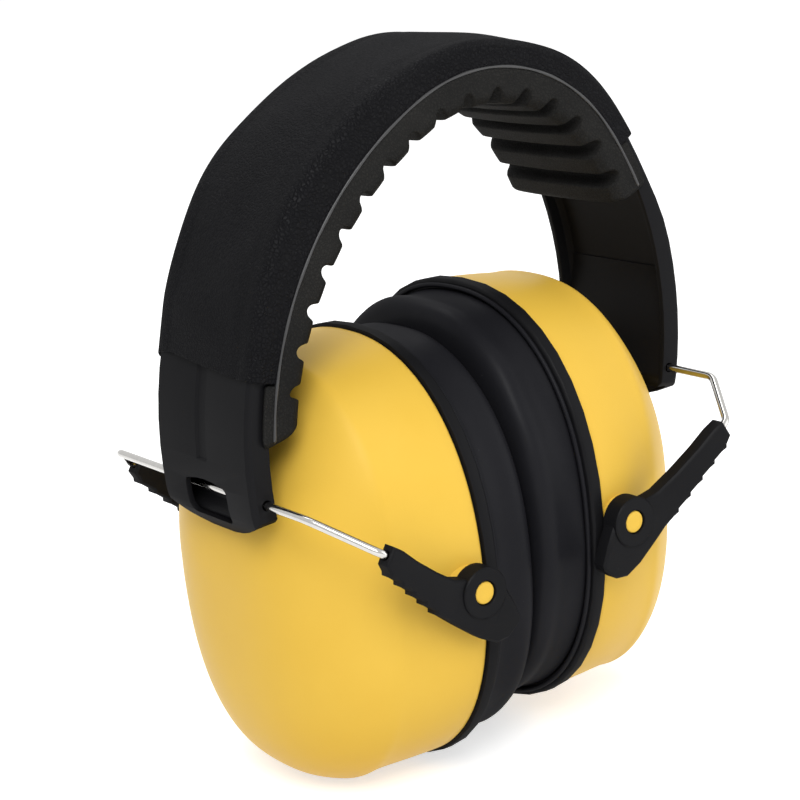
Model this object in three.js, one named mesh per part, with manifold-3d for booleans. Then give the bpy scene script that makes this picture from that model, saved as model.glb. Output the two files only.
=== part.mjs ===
// Folding earmuff hearing protector. Millimetres, +Z up, +X to the right muff, -Y to the front.
// The origin is under the middle of the whole, at its lowest point.

import * as THREE from "three";
import { mergeVertices } from "three/addons/utils/BufferGeometryUtils.js";
import Module from "manifold-3d";

const wasm = await Module();
wasm.setup();

// Fits
const seatGap = 0.3; // between pieces that rest on each other
const runGap = 0.25; // round the wire and the trunnions
const overrun = 1.5; // how far a cutter passes the faces that it cuts
const weldDistance = 1e-4; // points nearer than this are one point

// Arch of the headband, followed along the seam between cover and pad, seen from the front.
// A heading runs from 0 at the left side over 90 at the top to 180 at the right side.
const sideRadius = 80.95;
const crownRadius = 41;
const crownCentreX = 8.3; // from the plane where the cushions meet
const crownCentreZ = 59.2; // any level would do: the whole is set on its lowest point at the end
const leftJoin = THREE.MathUtils.degToRad(64);
const rightJoin = THREE.MathUtils.degToRad(145.8);
const coverLeftEnd = THREE.MathUtils.degToRad(12.4);
const coverRightEnd = THREE.MathUtils.degToRad(150.2);
const bandShift = -5.2; // of the band and sliders along Y, off the middle plane of the cups

// Cover: a leathery sleeve, open at both ends, whose edges reach down past the seam
const coverHalfWidth = 20;
const coverWall = 1;
const coverShoulderOut = 0.6; // from the slider's flat face to the cover's shoulder, outward in Y
const coverBulge = 0.3; // height of its middle over its shoulders
const coverCheekIn = 0.2; // from its side to the bend under the shoulder
const coverCheekShare = 0.7; // height of that bend, of the shoulder's
const coverSideShare = 0.35; // height where the side turns straight, of the shoulder's
const coverLip = 0.9; // how far its edges reach below the seam
const coverStationPitch = 5;

// Pad: the ribbed foam under the arch, which runs on past the cover as a tongue at each end
const padDeckDrop = 0.6; // from the seam down to the face that the spring lies on
const padLipRise = 3.3; // of the tongue's edges over the seam, beside the slider
const padDepth = 9.4; // from the seam to the crests in the middle
const padEndDepth = 8;
const padChamfer = 2.2;
const tongueLength = 13.5;
const tongueEndDrop = 2.5; // the rounding of the tongue's last corner
const ribCount = 18;
const grooveWidth = 3.2;
const grooveDepth = 2.9;
const grooveFloorShare = 0.4;
const grooveChamferShare = 0.25;

// Spring band between pad and cover, which the sliders run on
const springSideRoom = 1.2; // inside the edges of the slider's flat face
const springThickness = 1;
const springEndInset = 2; // from the tongue's end to the band's end
const springCorner = 4;
const springStationPitch = 8;

// Sliders: channels curved like the sides of the arch, as wide as the cover lets through
const sleeveSideRoom = 0.4; // on each side, between the slider's feet and the cover
const sliderRise = 5; // outer face over the seam
const sliderPlate = 1.3;
const sliderCorner = 1.2;
const sliderSplay = 1.2; // how far the flanges lean out
const sliderReach = 70; // from the wire's axis to the hidden end
const sliderTip = 9; // from the wire's axis to the lower end, in the middle
const sliderTipAtSide = 4.6;
const sliderTipCurl = 2.4; // how far the lower end curls towards the head
const sliderCurlLength = 7;
const sliderTaper = 1.2; // how much lower its face is at the hidden end
const sliderTaperStart = 32; // from the wire's axis
const sliderTaperEnd = 52;
const sliderHalfWidth = coverHalfWidth - coverWall - sleeveSideRoom - sliderSplay; // of its flat face
const springHalfWidth = sliderHalfWidth - springSideRoom;
const sliderGrooveHalf = 1.65;
const sliderGrooveDepth = 0.5;
const sliderGrooveStart = 7.5; // from the wire's axis
const sliderStationPitch = 6;
const sliderTipStations = 4;
const wireUnderFace = 3.4; // from the slider's outer face to the wire's axis
const windowHalfWidth = 8.3;
const windowAbove = 2.6;
const windowBelow = 5.7;
const windowCorner = 2;
const windowArch = 1.4; // rise of the point that draws the window's upper edge up

// Where each slider stands: the wire's axis, turned down from the level of the side's centre
const leftWireDrop = THREE.MathUtils.degToRad(3.8);
const rightWireDrop = THREE.MathUtils.degToRad(10.1);

// Wire yoke
const wireDiameter = 1.8;
const wireHalfSpan = 38.4; // half the length of the crosspiece
const wireBend = 3.5;
const bendRoomShare = 0.4; // of the shorter run beside a corner, that its bend may take
const wireKink = 0.9; // rise of the kink in the middle of the crosspiece
const wireKinkHalf = 5.5;
const wireInSocket = 7.5;
const yokeLength = 42.4; // from the crosspiece to the trunnions
const leastYokeLean = THREE.MathUtils.degToRad(10); // where a wide arch holds the cups apart

// Fork arms at the ends of the wire
const armLength = 30; // from the trunnion to the socket's mouth
const armDroop = THREE.MathUtils.degToRad(1.5); // below the line from trunnion to crosspiece
const armThickness = 4;
const armBevel = 0.5;
const armMouthSpread = 51; // from the middle plane to the socket's mouth
const armKnee = 6; // from the trunnion to where the arm starts to lean out
const eyeRadius = 4.5;
const eyeRise = 0.5; // of the ring round the trunnion over the arm's face
const serrations = 5;
const serrationDepth = 0.65;
const armRecessDepth = 0.8;

// Cup shell, with its depth measured outward from the rim
const cupHalfWidth = 43.4;
const cupHalfHeight = 49.4;
const cupDepth = 38.6;
const cupWall = 2.6;
const creaseDepth = 20;
const creaseHalfWidth = 38;
const creaseUpperHeight = 46.5; // from the trunnions' level up
const creaseLowerHeight = 48.7; // and down
const trunnionRadius = 2.5;
const trunnionOutset = 4.3; // from the rim to the trunnion's axis
const bossRadius = 7.5;
const bossReach = 44.4; // from the middle plane to the boss's face
const bossSetback = 0.05; // from the rim to the boss's flat
const trunnionRecess = 0.3; // of the trunnion's end below the ring round it

// Cushion plate, cushion, foams
const plateThickness = 3.1;
const plateProud = 0.8; // beyond the cup's rim
const plateWidth = 13;
const plateSkirt = 3; // height of the wall that locates it in the shell
const plateSkirtWall = 1.6;
const plateFlange = 1.8;
const plateBevel = 0.5;
const cushionHeight = 12.5;
const cushionSetIn = 1.6; // of its side from the cup's rim
const cushionWidth = 21.4;
const cushionRound = 3.6;
const cushionInnerRound = 4.6;
const cushionNeck = 0.8; // how far its sides draw in at the plate
const cushionCrown = 0.5;
const cushionSkin = 1.2;
const contactHalfGap = 0.15;
const linerFace = 13; // from the rim to the liner's face
const linerCrown = 1.5;
const linerRound = 4;

// Facets
const ovalSegments = 40;
const foamSegments = 36;
const roundSegments = 16;
const boreSegments = 8;
const wireSteps = 48;
const curveFacets = 4;
const cushionFacets = [4, 3]; // round its outer and its inner shoulder
const cushionInnerFacets = [3, 2];

// Where the points of the outlines lie, as shares of the size that each follows
const domeShares = [0.11, 0.26, 0.43, 0.6, 0.75, 0.87, 0.95, 0.99];
const innerDomeShares = [0.3, 0.62, 0.88];
const wallShares = [0, 0.3, 0.6, 0.85, 1];
const innerWallShares = [0, 0.5, 1];
const linerDomeShares = [0.3, 0.6, 0.85];
const linerMiddleShare = 0.5;
// the height of the cover's shoulders, of that at its left end, at shares of its length
const coverHeightShares = [[0, 1], [0.33, 1.3], [0.62, 0.82], [1, 0.82]];
const shelfStepShares = [0, 0.3, 0.6, 1];
const sliderCornerShares = [0.7, 0.45]; // out and down, of the corner's size
// of the arm's length, from the mouth along the upper edge to the ring
const armUpperShares = [[1, 0.073], [0.9, 0.07], [0.73, 0.04], [0.5, 0.017], [0.3, 0.01]];
// of the arm's length, round the tail below and inside the trunnion
const armTailShares = [
  [-0.15, 0.107], [-0.283, 0.027], [-0.4, -0.06], [-0.413, -0.11], [-0.367, -0.233],
  [-0.283, -0.297], [-0.133, -0.31], [0.09, -0.287],
];
const armLowerStartShare = [0.22, -0.27];
const armLowerEndShare = [0.94, -0.107];
const armMouthShare = [1, -0.07];
const armRecessShares = [[-0.3, -0.02], [-0.2, 0.02], [-0.2, -0.17]];
// each tooth: how far along it a point lies, and how far it hangs, of the serration's depth
const toothShares = [[0, 0], [0.55, 0.35], [0.9, 1]];

// Bends of the outlines, which hold no lengths
const eyeAngles = [20, 54, 92, 126].map(THREE.MathUtils.degToRad);
const rimExponent = 2.25; // 2 would be an ellipse, and more is squarer
const domeExponent = 2.4;
const wallPower = 1.7;
const widthPowers = [1.3, 3]; // how the dome draws in from the crease, and how it closes
const upperPowers = [1.2, 1.95];
const lowerPowers = [2.1, 3.5];

// Materials
const plastics = { roughness: 0.45, metalness: 0 };
const shellYellow = new THREE.MeshStandardMaterial({ color: 0xf0be3c, ...plastics });
const blackPlastic = new THREE.MeshStandardMaterial({ color: 0x1f1f21, ...plastics });
const leatherette = new THREE.MeshStandardMaterial({ color: 0x1a1a1c, roughness: 0.6, metalness: 0 });
const blackFoam = new THREE.MeshStandardMaterial({ color: 0x151516, roughness: 0.9, metalness: 0 });
const cushionVinyl = new THREE.MeshStandardMaterial({ color: 0x202124, roughness: 0.5, metalness: 0 });
const greyFoam = new THREE.MeshStandardMaterial({ color: 0x3a3a3c, roughness: 0.95, metalness: 0 });
const springSteel = new THREE.MeshStandardMaterial({ color: 0x6f7276, roughness: 0.4, metalness: 0.9 });
const wireSteel = new THREE.MeshStandardMaterial({ color: 0xc4c6c8, roughness: 0.25, metalness: 1 });

// Geometry helpers

// The signed volume of an indexed geometry: negative when its faces point inward
function signedVolume(geometry) {
  const { position } = geometry.attributes;
  const corner = [new THREE.Vector3(), new THREE.Vector3(), new THREE.Vector3()];
  let sum = 0;
  for (let i = 0; i < geometry.index.count; i += 3) {
    corner.forEach((point, k) => point.fromBufferAttribute(position, geometry.index.getX(i + k)));
    sum += corner[0].dot(corner[1].cross(corner[2]));
  }
  return sum / 6;
}

// Turns every triangle of an indexed geometry round
function flipFaces(geometry) {
  const index = geometry.index.array;
  for (let i = 0; i < index.length; i += 3) [index[i + 1], index[i + 2]] = [index[i + 2], index[i + 1]];
  return geometry;
}

// A closed surface over rings of points. A ring of one point is a pole. Rings join in order, and
// the last joins the first when the skin is looped. The cap is the outline of both end rings.
function skin(rings, { looped = false, cap = null } = {}) {
  const starts = rings.map((_, i) => rings.slice(0, i).reduce((sum, ring) => sum + ring.length, 0));
  const index = [];
  const joins = looped ? rings.length : rings.length - 1;
  for (let i = 0; i < joins; i++) {
    const [a, b] = [rings[i], rings[(i + 1) % rings.length]];
    const [startA, startB] = [starts[i], starts[(i + 1) % rings.length]];
    const count = Math.max(a.length, b.length);
    for (let k = 0; k < count; k++) {
      const next = (k + 1) % count;
      if (b.length > 1) index.push(startA + (k % a.length), startB + next, startB + k);
      if (a.length > 1) index.push(startA + k, startA + next, startB + (next % b.length));
    }
  }
  if (cap) {
    const last = starts[rings.length - 1];
    const clockwise = THREE.ShapeUtils.isClockWise(cap);
    for (const triangle of THREE.ShapeUtils.triangulateShape(cap, [])) {
      const [p, q, r] = clockwise ? [...triangle].reverse() : triangle;
      index.push(r, q, p, last + p, last + q, last + r);
    }
  }
  const geometry = new THREE.BufferGeometry().setFromPoints(rings.flat()).setIndex(index);
  return signedVolume(geometry) < 0 ? flipFaces(geometry) : geometry;
}

// A manifold solid from a geometry, and back
function solidOf(geometry) {
  const bare = geometry.clone();
  bare.deleteAttribute("normal");
  bare.deleteAttribute("uv");
  const merged = mergeVertices(bare, weldDistance);
  return new wasm.Manifold(
    new wasm.Mesh({
      numProp: 3,
      vertProperties: merged.attributes.position.array,
      triVerts: new Uint32Array(merged.index.array),
    }),
  );
}

function geometryOf(solid) {
  const { numProp, numVert, vertProperties, triVerts } = solid.getMesh();
  const points = new Float32Array(numVert * 3);
  for (let i = 0; i < numVert; i++) points.set(vertProperties.subarray(i * numProp, i * numProp + 3), i * 3);
  return new THREE.BufferGeometry()
    .setAttribute("position", new THREE.BufferAttribute(points, 3))
    .setIndex(new THREE.BufferAttribute(triVerts, 1));
}

// A rod along Y between two distances from the middle plane
function rodAlongY(radius, from, to, x, z) {
  return new THREE.CylinderGeometry(radius, radius, to - from, roundSegments).translate(x, (from + to) / 2, z);
}

// A shape drawn in (across, along), pushed out along +X: across becomes Y and along becomes Z
function prismAlongX(shape, from, to) {
  const depth = to - from;
  const prism = new THREE.ExtrudeGeometry(shape, { depth, bevelEnabled: false, curveSegments: curveFacets });
  return prism.applyMatrix4(new THREE.Matrix4().set(0, 0, 1, from, 1, 0, 0, 0, 0, 1, 0, 0, 0, 0, 0, 1));
}

// The mirror image across the middle plane
function mirroredY(geometry) {
  return flipFaces(geometry.clone().scale(1, -1, 1));
}

// A list of lengths from one end to the other, no further apart than the pitch
function spaced(from, to, pitch) {
  const count = Math.max(1, Math.ceil(Math.abs(to - from) / pitch));
  return Array.from({ length: count + 1 }, (_, i) => from + ((to - from) * i) / count);
}

// Half an outline, given from its middle line outward, closed by its mirror image
function mirroredOutline(half) {
  const right = half.map(([across, out]) => new THREE.Vector2(across, out));
  const left = half.map(([across, out]) => new THREE.Vector2(-across, out)).reverse();
  return [...right, ...left];
}

// Arch geometry

const outwardAt = (heading) => new THREE.Vector2(-Math.cos(heading), Math.sin(heading));
const crownCentre = new THREE.Vector2(crownCentreX, crownCentreZ);
const sideCentre = (join) => crownCentre.clone().addScaledVector(outwardAt(join), crownRadius - sideRadius);
const leftCentre = sideCentre(leftJoin);
const rightCentre = sideCentre(rightJoin);

// A point at a heading on the arch, at a distance across (along Y) and out from the seam
function archPoint(heading, across, out) {
  const onCrown = heading > leftJoin && heading < rightJoin;
  const sideCentreHere = heading <= leftJoin ? leftCentre : rightCentre;
  const centre = onCrown ? crownCentre : sideCentreHere;
  const radius = (onCrown ? crownRadius : sideRadius) + out;
  const point = outwardAt(heading).multiplyScalar(radius).add(centre);
  return new THREE.Vector3(point.x, across, point.y);
}

// Length along the seam from the cover's left end to a heading, and the heading at a length
const leftArc = sideRadius * (leftJoin - coverLeftEnd);
const crownArc = crownRadius * (rightJoin - leftJoin);
const coverLength = leftArc + crownArc + sideRadius * (coverRightEnd - rightJoin);

function headingAt(length) {
  if (length < leftArc) return coverLeftEnd + length / sideRadius;
  if (length < leftArc + crownArc) return leftJoin + (length - leftArc) / crownRadius;
  return rightJoin + (length - leftArc - crownArc) / sideRadius;
}

// A bar along the arch. sectionAt gives the (across, out) outline for a length along the seam.
function archBar(lengths, sectionAt) {
  const rings = lengths.map((length) =>
    sectionAt(length).map((p) => archPoint(headingAt(length), p.x, p.y)),
  );
  return skin(rings, { cap: sectionAt(lengths[0]) });
}

// Headband

// The cover's height at a length, as a share of its height at the left end
function coverHeightShare(length) {
  const at = length / coverLength;
  const next = coverHeightShares.findIndex(([place]) => place >= at);
  const [from, low] = coverHeightShares[Math.max(0, next - 1)];
  const [to, high] = coverHeightShares[Math.max(1, next)];
  return THREE.MathUtils.lerp(low, high, THREE.MathUtils.smoothstep(at, from, to));
}

// The sleeve's inner faces just clear the sliders, which pass through it.
function headbandCover() {
  const shoulderHalf = sliderHalfWidth + coverShoulderOut;
  const fullShoulder = sliderRise + seatGap + coverWall;
  return archBar(spaced(0, coverLength, coverStationPitch), (length) => {
    const shoulder = fullShoulder * coverHeightShare(length);
    const cheek = shoulder * coverCheekShare;
    const side = shoulder * coverSideShare;
    const cheekHalf = coverHalfWidth - coverCheekIn;
    return mirroredOutline([
      [shoulderHalf / 3, shoulder + coverBulge],
      [shoulderHalf, shoulder],
      [cheekHalf, cheek],
      [coverHalfWidth, side],
      [coverHalfWidth, -coverLip],
      [coverHalfWidth - coverWall, -coverLip],
      [coverHalfWidth - coverWall, side],
      [cheekHalf - coverWall, cheek - coverWall / 2],
      [shoulderHalf, shoulder - coverWall],
      [shoulderHalf / 3, shoulder + coverBulge - coverWall],
    ]);
  });
}

// Lengths at which the pad's outline changes: the edges and floor of each groove, and the tongues
const padStart = -tongueLength;
const padEnd = coverLength + tongueLength;
const ribPitch = (padEnd - padStart + grooveWidth) / ribCount;

// The tongues have raised edges beside the slider. Under the cover the pad's deck ends inside it.
function padSection({ at, groove, corner }) {
  const middleShare = Math.sin((Math.PI * (at - padStart)) / (padEnd - padStart));
  const crest = THREE.MathUtils.lerp(padEndDepth, padDepth, middleShare);
  const depth = crest - (groove ? grooveDepth : 0) - (corner ? tongueEndDrop : 0);
  const lipInner = sliderHalfWidth + sliderSplay + seatGap;
  const rise = corner ? padLipRise - tongueEndDrop / 2 : padLipRise;
  const shelf = coverHalfWidth - coverWall - seatGap;
  const shoulder = -coverLip - seatGap;
  const lip = [[lipInner, -padDeckDrop], [lipInner, rise], [coverHalfWidth, rise], [coverHalfWidth, -padDeckDrop]];
  const step = shelfStepShares.map((share) => [shelf, THREE.MathUtils.lerp(-padDeckDrop, shoulder, share)]);
  const covered = at >= 0 && at <= coverLength;
  const chamfer = groove ? padChamfer * grooveChamferShare : padChamfer;
  return mirroredOutline([
    ...(covered ? step : lip),
    [coverHalfWidth, shoulder],
    [coverHalfWidth, padChamfer - depth],
    [coverHalfWidth - chamfer, -depth],
  ]);
}

function headbandPad() {
  const stations = [{ at: padStart, corner: true }, { at: padStart + tongueEndDrop }];
  const floor = (grooveWidth * grooveFloorShare) / 2;
  for (let i = 1; i < ribCount; i++) {
    const middle = padStart + i * ribPitch - grooveWidth / 2;
    stations.push({ at: middle - grooveWidth / 2 }, { at: middle - floor, groove: true });
    stations.push({ at: middle + floor, groove: true }, { at: middle + grooveWidth / 2 });
  }
  stations.push({ at: -seatGap }, { at: 0 }, { at: coverLength }, { at: coverLength + seatGap });
  stations.push({ at: padEnd - tongueEndDrop }, { at: padEnd, corner: true });
  stations.sort((a, b) => a.at - b.at);
  const rings = stations.map((station) =>
    padSection(station).map((p) => archPoint(headingAt(station.at), p.x, p.y)),
  );
  return skin(rings, { cap: padSection(stations[0]) });
}

function headbandSpring() {
  const from = padStart + springEndInset;
  const to = padEnd - springEndInset;
  const low = seatGap - padDeckDrop;
  const lengths = [from, ...spaced(from + springCorner, to - springCorner, springStationPitch), to];
  return archBar(lengths, (length) => {
    const half = length === from || length === to ? springHalfWidth - springCorner : springHalfWidth;
    return mirroredOutline([[half, low + springThickness], [half, low]]);
  });
}

// Slider, drawn round the side's centre with the wire's axis straight out along +X

const sliderFaceRadius = sideRadius + sliderRise;
const wireAxisRadius = sliderFaceRadius - wireUnderFace;

function sliderSection(along) {
  const taper = THREE.MathUtils.smoothstep(along, sliderTaperStart, sliderTaperEnd);
  const curl = Math.max(0, sliderCurlLength - sliderTip - along) / sliderCurlLength;
  const drop = sliderTipCurl * curl * curl;
  const face = sliderRise - sliderTaper * taper - drop;
  const under = face - sliderPlate;
  const foot = seatGap - padDeckDrop;
  const groove = along > sliderGrooveStart ? face - sliderGrooveDepth : face;
  const [cornerOut, cornerDown] = sliderCornerShares.map((share) => sliderCorner * share);
  return mirroredOutline([
    [sliderGrooveHalf, groove],
    [sliderGrooveHalf + sliderGrooveDepth, face],
    [sliderHalfWidth, face],
    [sliderHalfWidth + cornerOut, face - cornerDown],
    [sliderHalfWidth + sliderCorner, face - sliderCorner],
    [sliderHalfWidth + sliderSplay, foot],
    [sliderHalfWidth + sliderSplay - sliderPlate, foot],
    [sliderHalfWidth, under - sliderCorner],
    [sliderHalfWidth - sliderCorner, under],
  ]);
}

function slider() {
  const curlEnd = sliderCurlLength - sliderTip;
  const stations = [
    ...spaced(-sliderTip, curlEnd, sliderCurlLength / sliderTipStations),
    ...spaced(curlEnd, sliderGrooveStart, sliderStationPitch).slice(1),
    ...spaced(sliderGrooveStart + sliderGrooveDepth, sliderReach, sliderStationPitch),
  ];
  const rings = stations.map((along) => {
    const angle = along / sliderFaceRadius;
    return sliderSection(along).map((p) => {
      const radius = sideRadius + p.y;
      return new THREE.Vector3(radius * Math.cos(angle), p.x, radius * Math.sin(angle));
    });
  });
  const channel = solidOf(skin(rings, { cap: sliderSection(stations[0]) }));
  return geometryOf(channel.subtract(sliderTipCutter()).subtract(windowCutter()).subtract(wireHoles()));
}

// Everything below the rounded lower edge
function sliderTipCutter() {
  const side = sliderHalfWidth + sliderSplay + overrun;
  const shape = new THREE.Shape();
  shape.moveTo(-side, -sliderTip - overrun);
  shape.lineTo(side, -sliderTip - overrun);
  shape.lineTo(side, -sliderTipAtSide / 2);
  shape.lineTo(sliderHalfWidth, -sliderTipAtSide);
  shape.quadraticCurveTo(sliderHalfWidth / 2, -sliderTip, 0, -sliderTip);
  shape.quadraticCurveTo(-sliderHalfWidth / 2, -sliderTip, -sliderHalfWidth, -sliderTipAtSide);
  shape.lineTo(-side, -sliderTipAtSide / 2);
  return solidOf(prismAlongX(shape, sideRadius - sliderTip, sliderFaceRadius + overrun));
}

function windowCutter() {
  const [side, top, foot, corner] = [windowHalfWidth, windowAbove, -windowBelow, windowCorner];
  const shape = new THREE.Shape();
  shape.moveTo(-side, top - corner);
  shape.lineTo(-side, foot + corner);
  shape.quadraticCurveTo(-side, foot, corner - side, foot);
  shape.lineTo(side - corner, foot);
  shape.quadraticCurveTo(side, foot, side, foot + corner);
  shape.lineTo(side, top - corner);
  shape.quadraticCurveTo(side, top, side - corner, top);
  shape.quadraticCurveTo(0, top + windowArch, corner - side, top);
  shape.quadraticCurveTo(-side, top, -side, top - corner);
  return solidOf(prismAlongX(shape, wireAxisRadius, sliderFaceRadius + overrun));
}

function wireHoles() {
  const reach = sliderHalfWidth + sliderSplay + overrun;
  return solidOf(rodAlongY(wireDiameter / 2 + runGap, -reach, reach, wireAxisRadius, 0));
}

// Yoke, drawn from the crosspiece's axis with the trunnions straight in along -X

// A point of an arm, at u along it from the trunnion, w above its axis and n from the middle plane
const armPoint = (u, w, n) => {
  const point = new THREE.Vector3(u, n, w).applyAxisAngle(new THREE.Vector3(0, 1, 0), armDroop);
  return point.setX(point.x - yokeLength);
};

const armInnerFace = bossReach + seatGap;
const armFace = armInnerFace + armThickness;
const armLean = (armMouthSpread - (armInnerFace + armThickness / 2)) / (armLength - armKnee);

// The wire leaves each socket in line with it, and bends outside the mouth. Its kink is where the
// slider holds it.
function yokeWire(kinkAt) {
  const inLine = (u, side) => armPoint(u, 0, side * (armMouthSpread + (u - armLength) * armLean));
  const ends = (side) => [inLine(armLength - wireInSocket, side), inLine(armLength + wireBend, side)];
  const crosspiece = [
    new THREE.Vector3(0, -wireHalfSpan, 0),
    new THREE.Vector3(0, kinkAt - wireKinkHalf, 0),
    new THREE.Vector3(wireKink, kinkAt, 0),
    new THREE.Vector3(0, kinkAt + wireKinkHalf, 0),
    new THREE.Vector3(0, wireHalfSpan, 0),
  ];
  const corners = [...ends(-1), ...crosspiece, ...ends(1).reverse()];
  const section = new THREE.Shape();
  section.absarc(0, 0, wireDiameter / 2, 0, 2 * Math.PI);
  return new THREE.ExtrudeGeometry(section, {
    extrudePath: roundedPath(corners, wireBend),
    steps: wireSteps,
    curveSegments: curveFacets,
  });
}

// Straight runs between corners, with each corner rounded by a bend that starts a bend length away
function roundedPath(corners, bend) {
  const path = new THREE.CurvePath();
  let from = corners[0];
  for (let i = 1; i < corners.length - 1; i++) {
    const [before, corner, after] = corners.slice(i - 1, i + 2);
    const room = Math.min(before.distanceTo(corner), corner.distanceTo(after));
    const reach = Math.min(bend, room * bendRoomShare);
    const start = corner.clone().add(before.clone().sub(corner).setLength(reach));
    const end = corner.clone().add(after.clone().sub(corner).setLength(reach));
    path.add(new THREE.LineCurve3(from, start));
    path.add(new THREE.QuadraticBezierCurve3(start, corner, end));
    from = end;
  }
  path.add(new THREE.LineCurve3(from, corners[corners.length - 1]));
  return path;
}

// The arm's outline in (u, w), with a serrated lower edge that a finger can grip
function armShape() {
  const place = ([u, w]) => new THREE.Vector2(u * armLength, w * armLength);
  const outline = armUpperShares.map(place);
  for (const angle of eyeAngles) {
    outline.push(new THREE.Vector2(eyeRadius * Math.cos(angle), eyeRadius * Math.sin(angle)));
  }
  outline.push(...armTailShares.map(place));
  const start = place(armLowerStartShare);
  const end = place(armLowerEndShare);
  for (let i = 0; i < serrations; i++) {
    for (const [along, hang] of toothShares) {
      const point = start.clone().lerp(end, (i + along) / serrations);
      outline.push(point.setY(point.y - hang * serrationDepth));
    }
  }
  outline.push(end, place(armMouthShare));
  return new THREE.Shape(outline);
}

// A shape in (u, w) as a plate between two distances from the middle plane, before it is placed
function armPlate(shape, from, to, bevel) {
  const plate = new THREE.ExtrudeGeometry(shape, {
    depth: to - from - 2 * bevel,
    bevelEnabled: bevel > 0,
    bevelThickness: bevel,
    bevelSize: bevel,
    bevelOffset: -bevel,
    bevelSegments: 1,
    curveSegments: curveFacets,
  });
  return plate.translate(0, 0, from + bevel);
}

// The matrix that leans the arm out: a distance u past the foot moves it out by u times the lean
const leanFrom = (foot) =>
  new THREE.Matrix4().set(1, 0, 0, 0, 0, 1, 0, 0, armLean, 0, 1, -armLean * foot, 0, 0, 0, 1);

// Keeps the part of a plate between two distances along the arm
function keepAlong(solid, from, to) {
  const slab = new THREE.BoxGeometry(to - from, 2 * armLength, 2 * armLength);
  return solid.intersect(solidOf(slab.translate((from + to) / 2, 0, armFace)));
}

function forkArm() {
  const shape = armShape();
  const flat = armPlate(shape, armInnerFace, armFace, armBevel);
  const leaning = flat.clone().applyMatrix4(leanFrom(armKnee));
  const overlap = armBevel / 2;
  let arm = keepAlong(solidOf(flat), -armLength, armKnee + overlap);
  arm = arm.add(keepAlong(solidOf(leaning), armKnee - overlap, armLength + overrun));
  const disc = (radius, from, to) => {
    const rod = new THREE.CylinderGeometry(radius, radius, to - from, roundSegments);
    return solidOf(rod.rotateX(Math.PI / 2).translate(0, 0, (from + to) / 2));
  };
  arm = arm.add(disc(eyeRadius, armInnerFace, armFace + eyeRise));
  arm = arm.subtract(disc(trunnionRadius + runGap, armInnerFace - overrun, armFace + eyeRise + overrun));
  arm = arm.subtract(armRecess()).subtract(socketBore());
  const placed = new THREE.Matrix4().makeBasis(
    new THREE.Vector3(1, 0, 0),
    new THREE.Vector3(0, 0, 1),
    new THREE.Vector3(0, 1, 0),
  );
  const geometry = flipFaces(geometryOf(arm).applyMatrix4(placed));
  return geometry.rotateY(armDroop).translate(-yokeLength, 0, 0);
}

// A shallow three-cornered hollow in the arm's outer face, beside the ring
function armRecess() {
  const corners = armRecessShares.map(([u, w]) => new THREE.Vector2(u * armLength, w * armLength));
  return solidOf(armPlate(new THREE.Shape(corners), armFace - armRecessDepth, armFace + overrun, 0));
}

// The bore that holds the wire's end
function socketBore() {
  const length = wireInSocket + seatGap + overrun;
  const radius = wireDiameter / 2 + runGap;
  const bore = new THREE.CylinderGeometry(radius, radius, length, boreSegments);
  bore.rotateZ(-Math.PI / 2).translate(armLength + overrun - length / 2, 0, armMouthSpread);
  return solidOf(bore.applyMatrix4(leanFrom(armLength)));
}

// Cup, drawn from the trunnions' level at its rim, with its depth along +X

// Points round an oval in the plane at a depth, with its own height up and down
function oval(depth, halfWidth, [up, down], exponent, segments) {
  const power = (value) => Math.sign(value) * Math.abs(value) ** (2 / exponent);
  return Array.from({ length: segments }, (_, i) => {
    const angle = (2 * Math.PI * i) / segments;
    const height = power(Math.sin(angle));
    return new THREE.Vector3(depth, halfWidth * power(Math.cos(angle)), height * (height > 0 ? up : down));
  });
}

// An oval of the shell's outside, drawn in on all sides and set back from the dome by an inset
function shellOval(depth, inset, segments = ovalSegments) {
  const wall = Math.min(1, depth / creaseDepth);
  const dome = Math.max(0, (depth - creaseDepth) / (cupDepth - inset - creaseDepth));
  const drawn = (rim, crease, [start, close]) => {
    const atWall = THREE.MathUtils.lerp(rim, crease, wall ** wallPower);
    return atWall * (1 - dome ** start) ** (1 / close) * (1 - inset / rim);
  };
  const width = drawn(cupHalfWidth, creaseHalfWidth, widthPowers);
  const up = drawn(cupHalfHeight, creaseUpperHeight, upperPowers);
  const down = drawn(cupHalfHeight, creaseLowerHeight, lowerPowers);
  return oval(depth, width, [up, down], THREE.MathUtils.lerp(rimExponent, domeExponent, wall), segments);
}

function cupShell() {
  const outerReach = cupDepth - creaseDepth;
  const innerReach = outerReach - cupWall;
  const outer = [
    ...wallShares.map((share) => shellOval(share * creaseDepth, 0)),
    ...domeShares.map((share) => shellOval(creaseDepth + share * outerReach, 0)),
  ];
  const inner = [
    ...innerWallShares.map((share) => shellOval(share * creaseDepth, cupWall)),
    ...innerDomeShares.map((share) => shellOval(creaseDepth + share * innerReach, cupWall)),
  ];
  const outerPole = [new THREE.Vector3(cupDepth, 0, 0)];
  const innerPole = [new THREE.Vector3(cupDepth - cupWall, 0, 0)];
  let shell = solidOf(skin([outerPole, ...outer.reverse(), ...inner, innerPole]));
  for (const side of [-1, 1]) shell = shell.add(trunnion(side));
  return geometryOf(shell);
}

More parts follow.
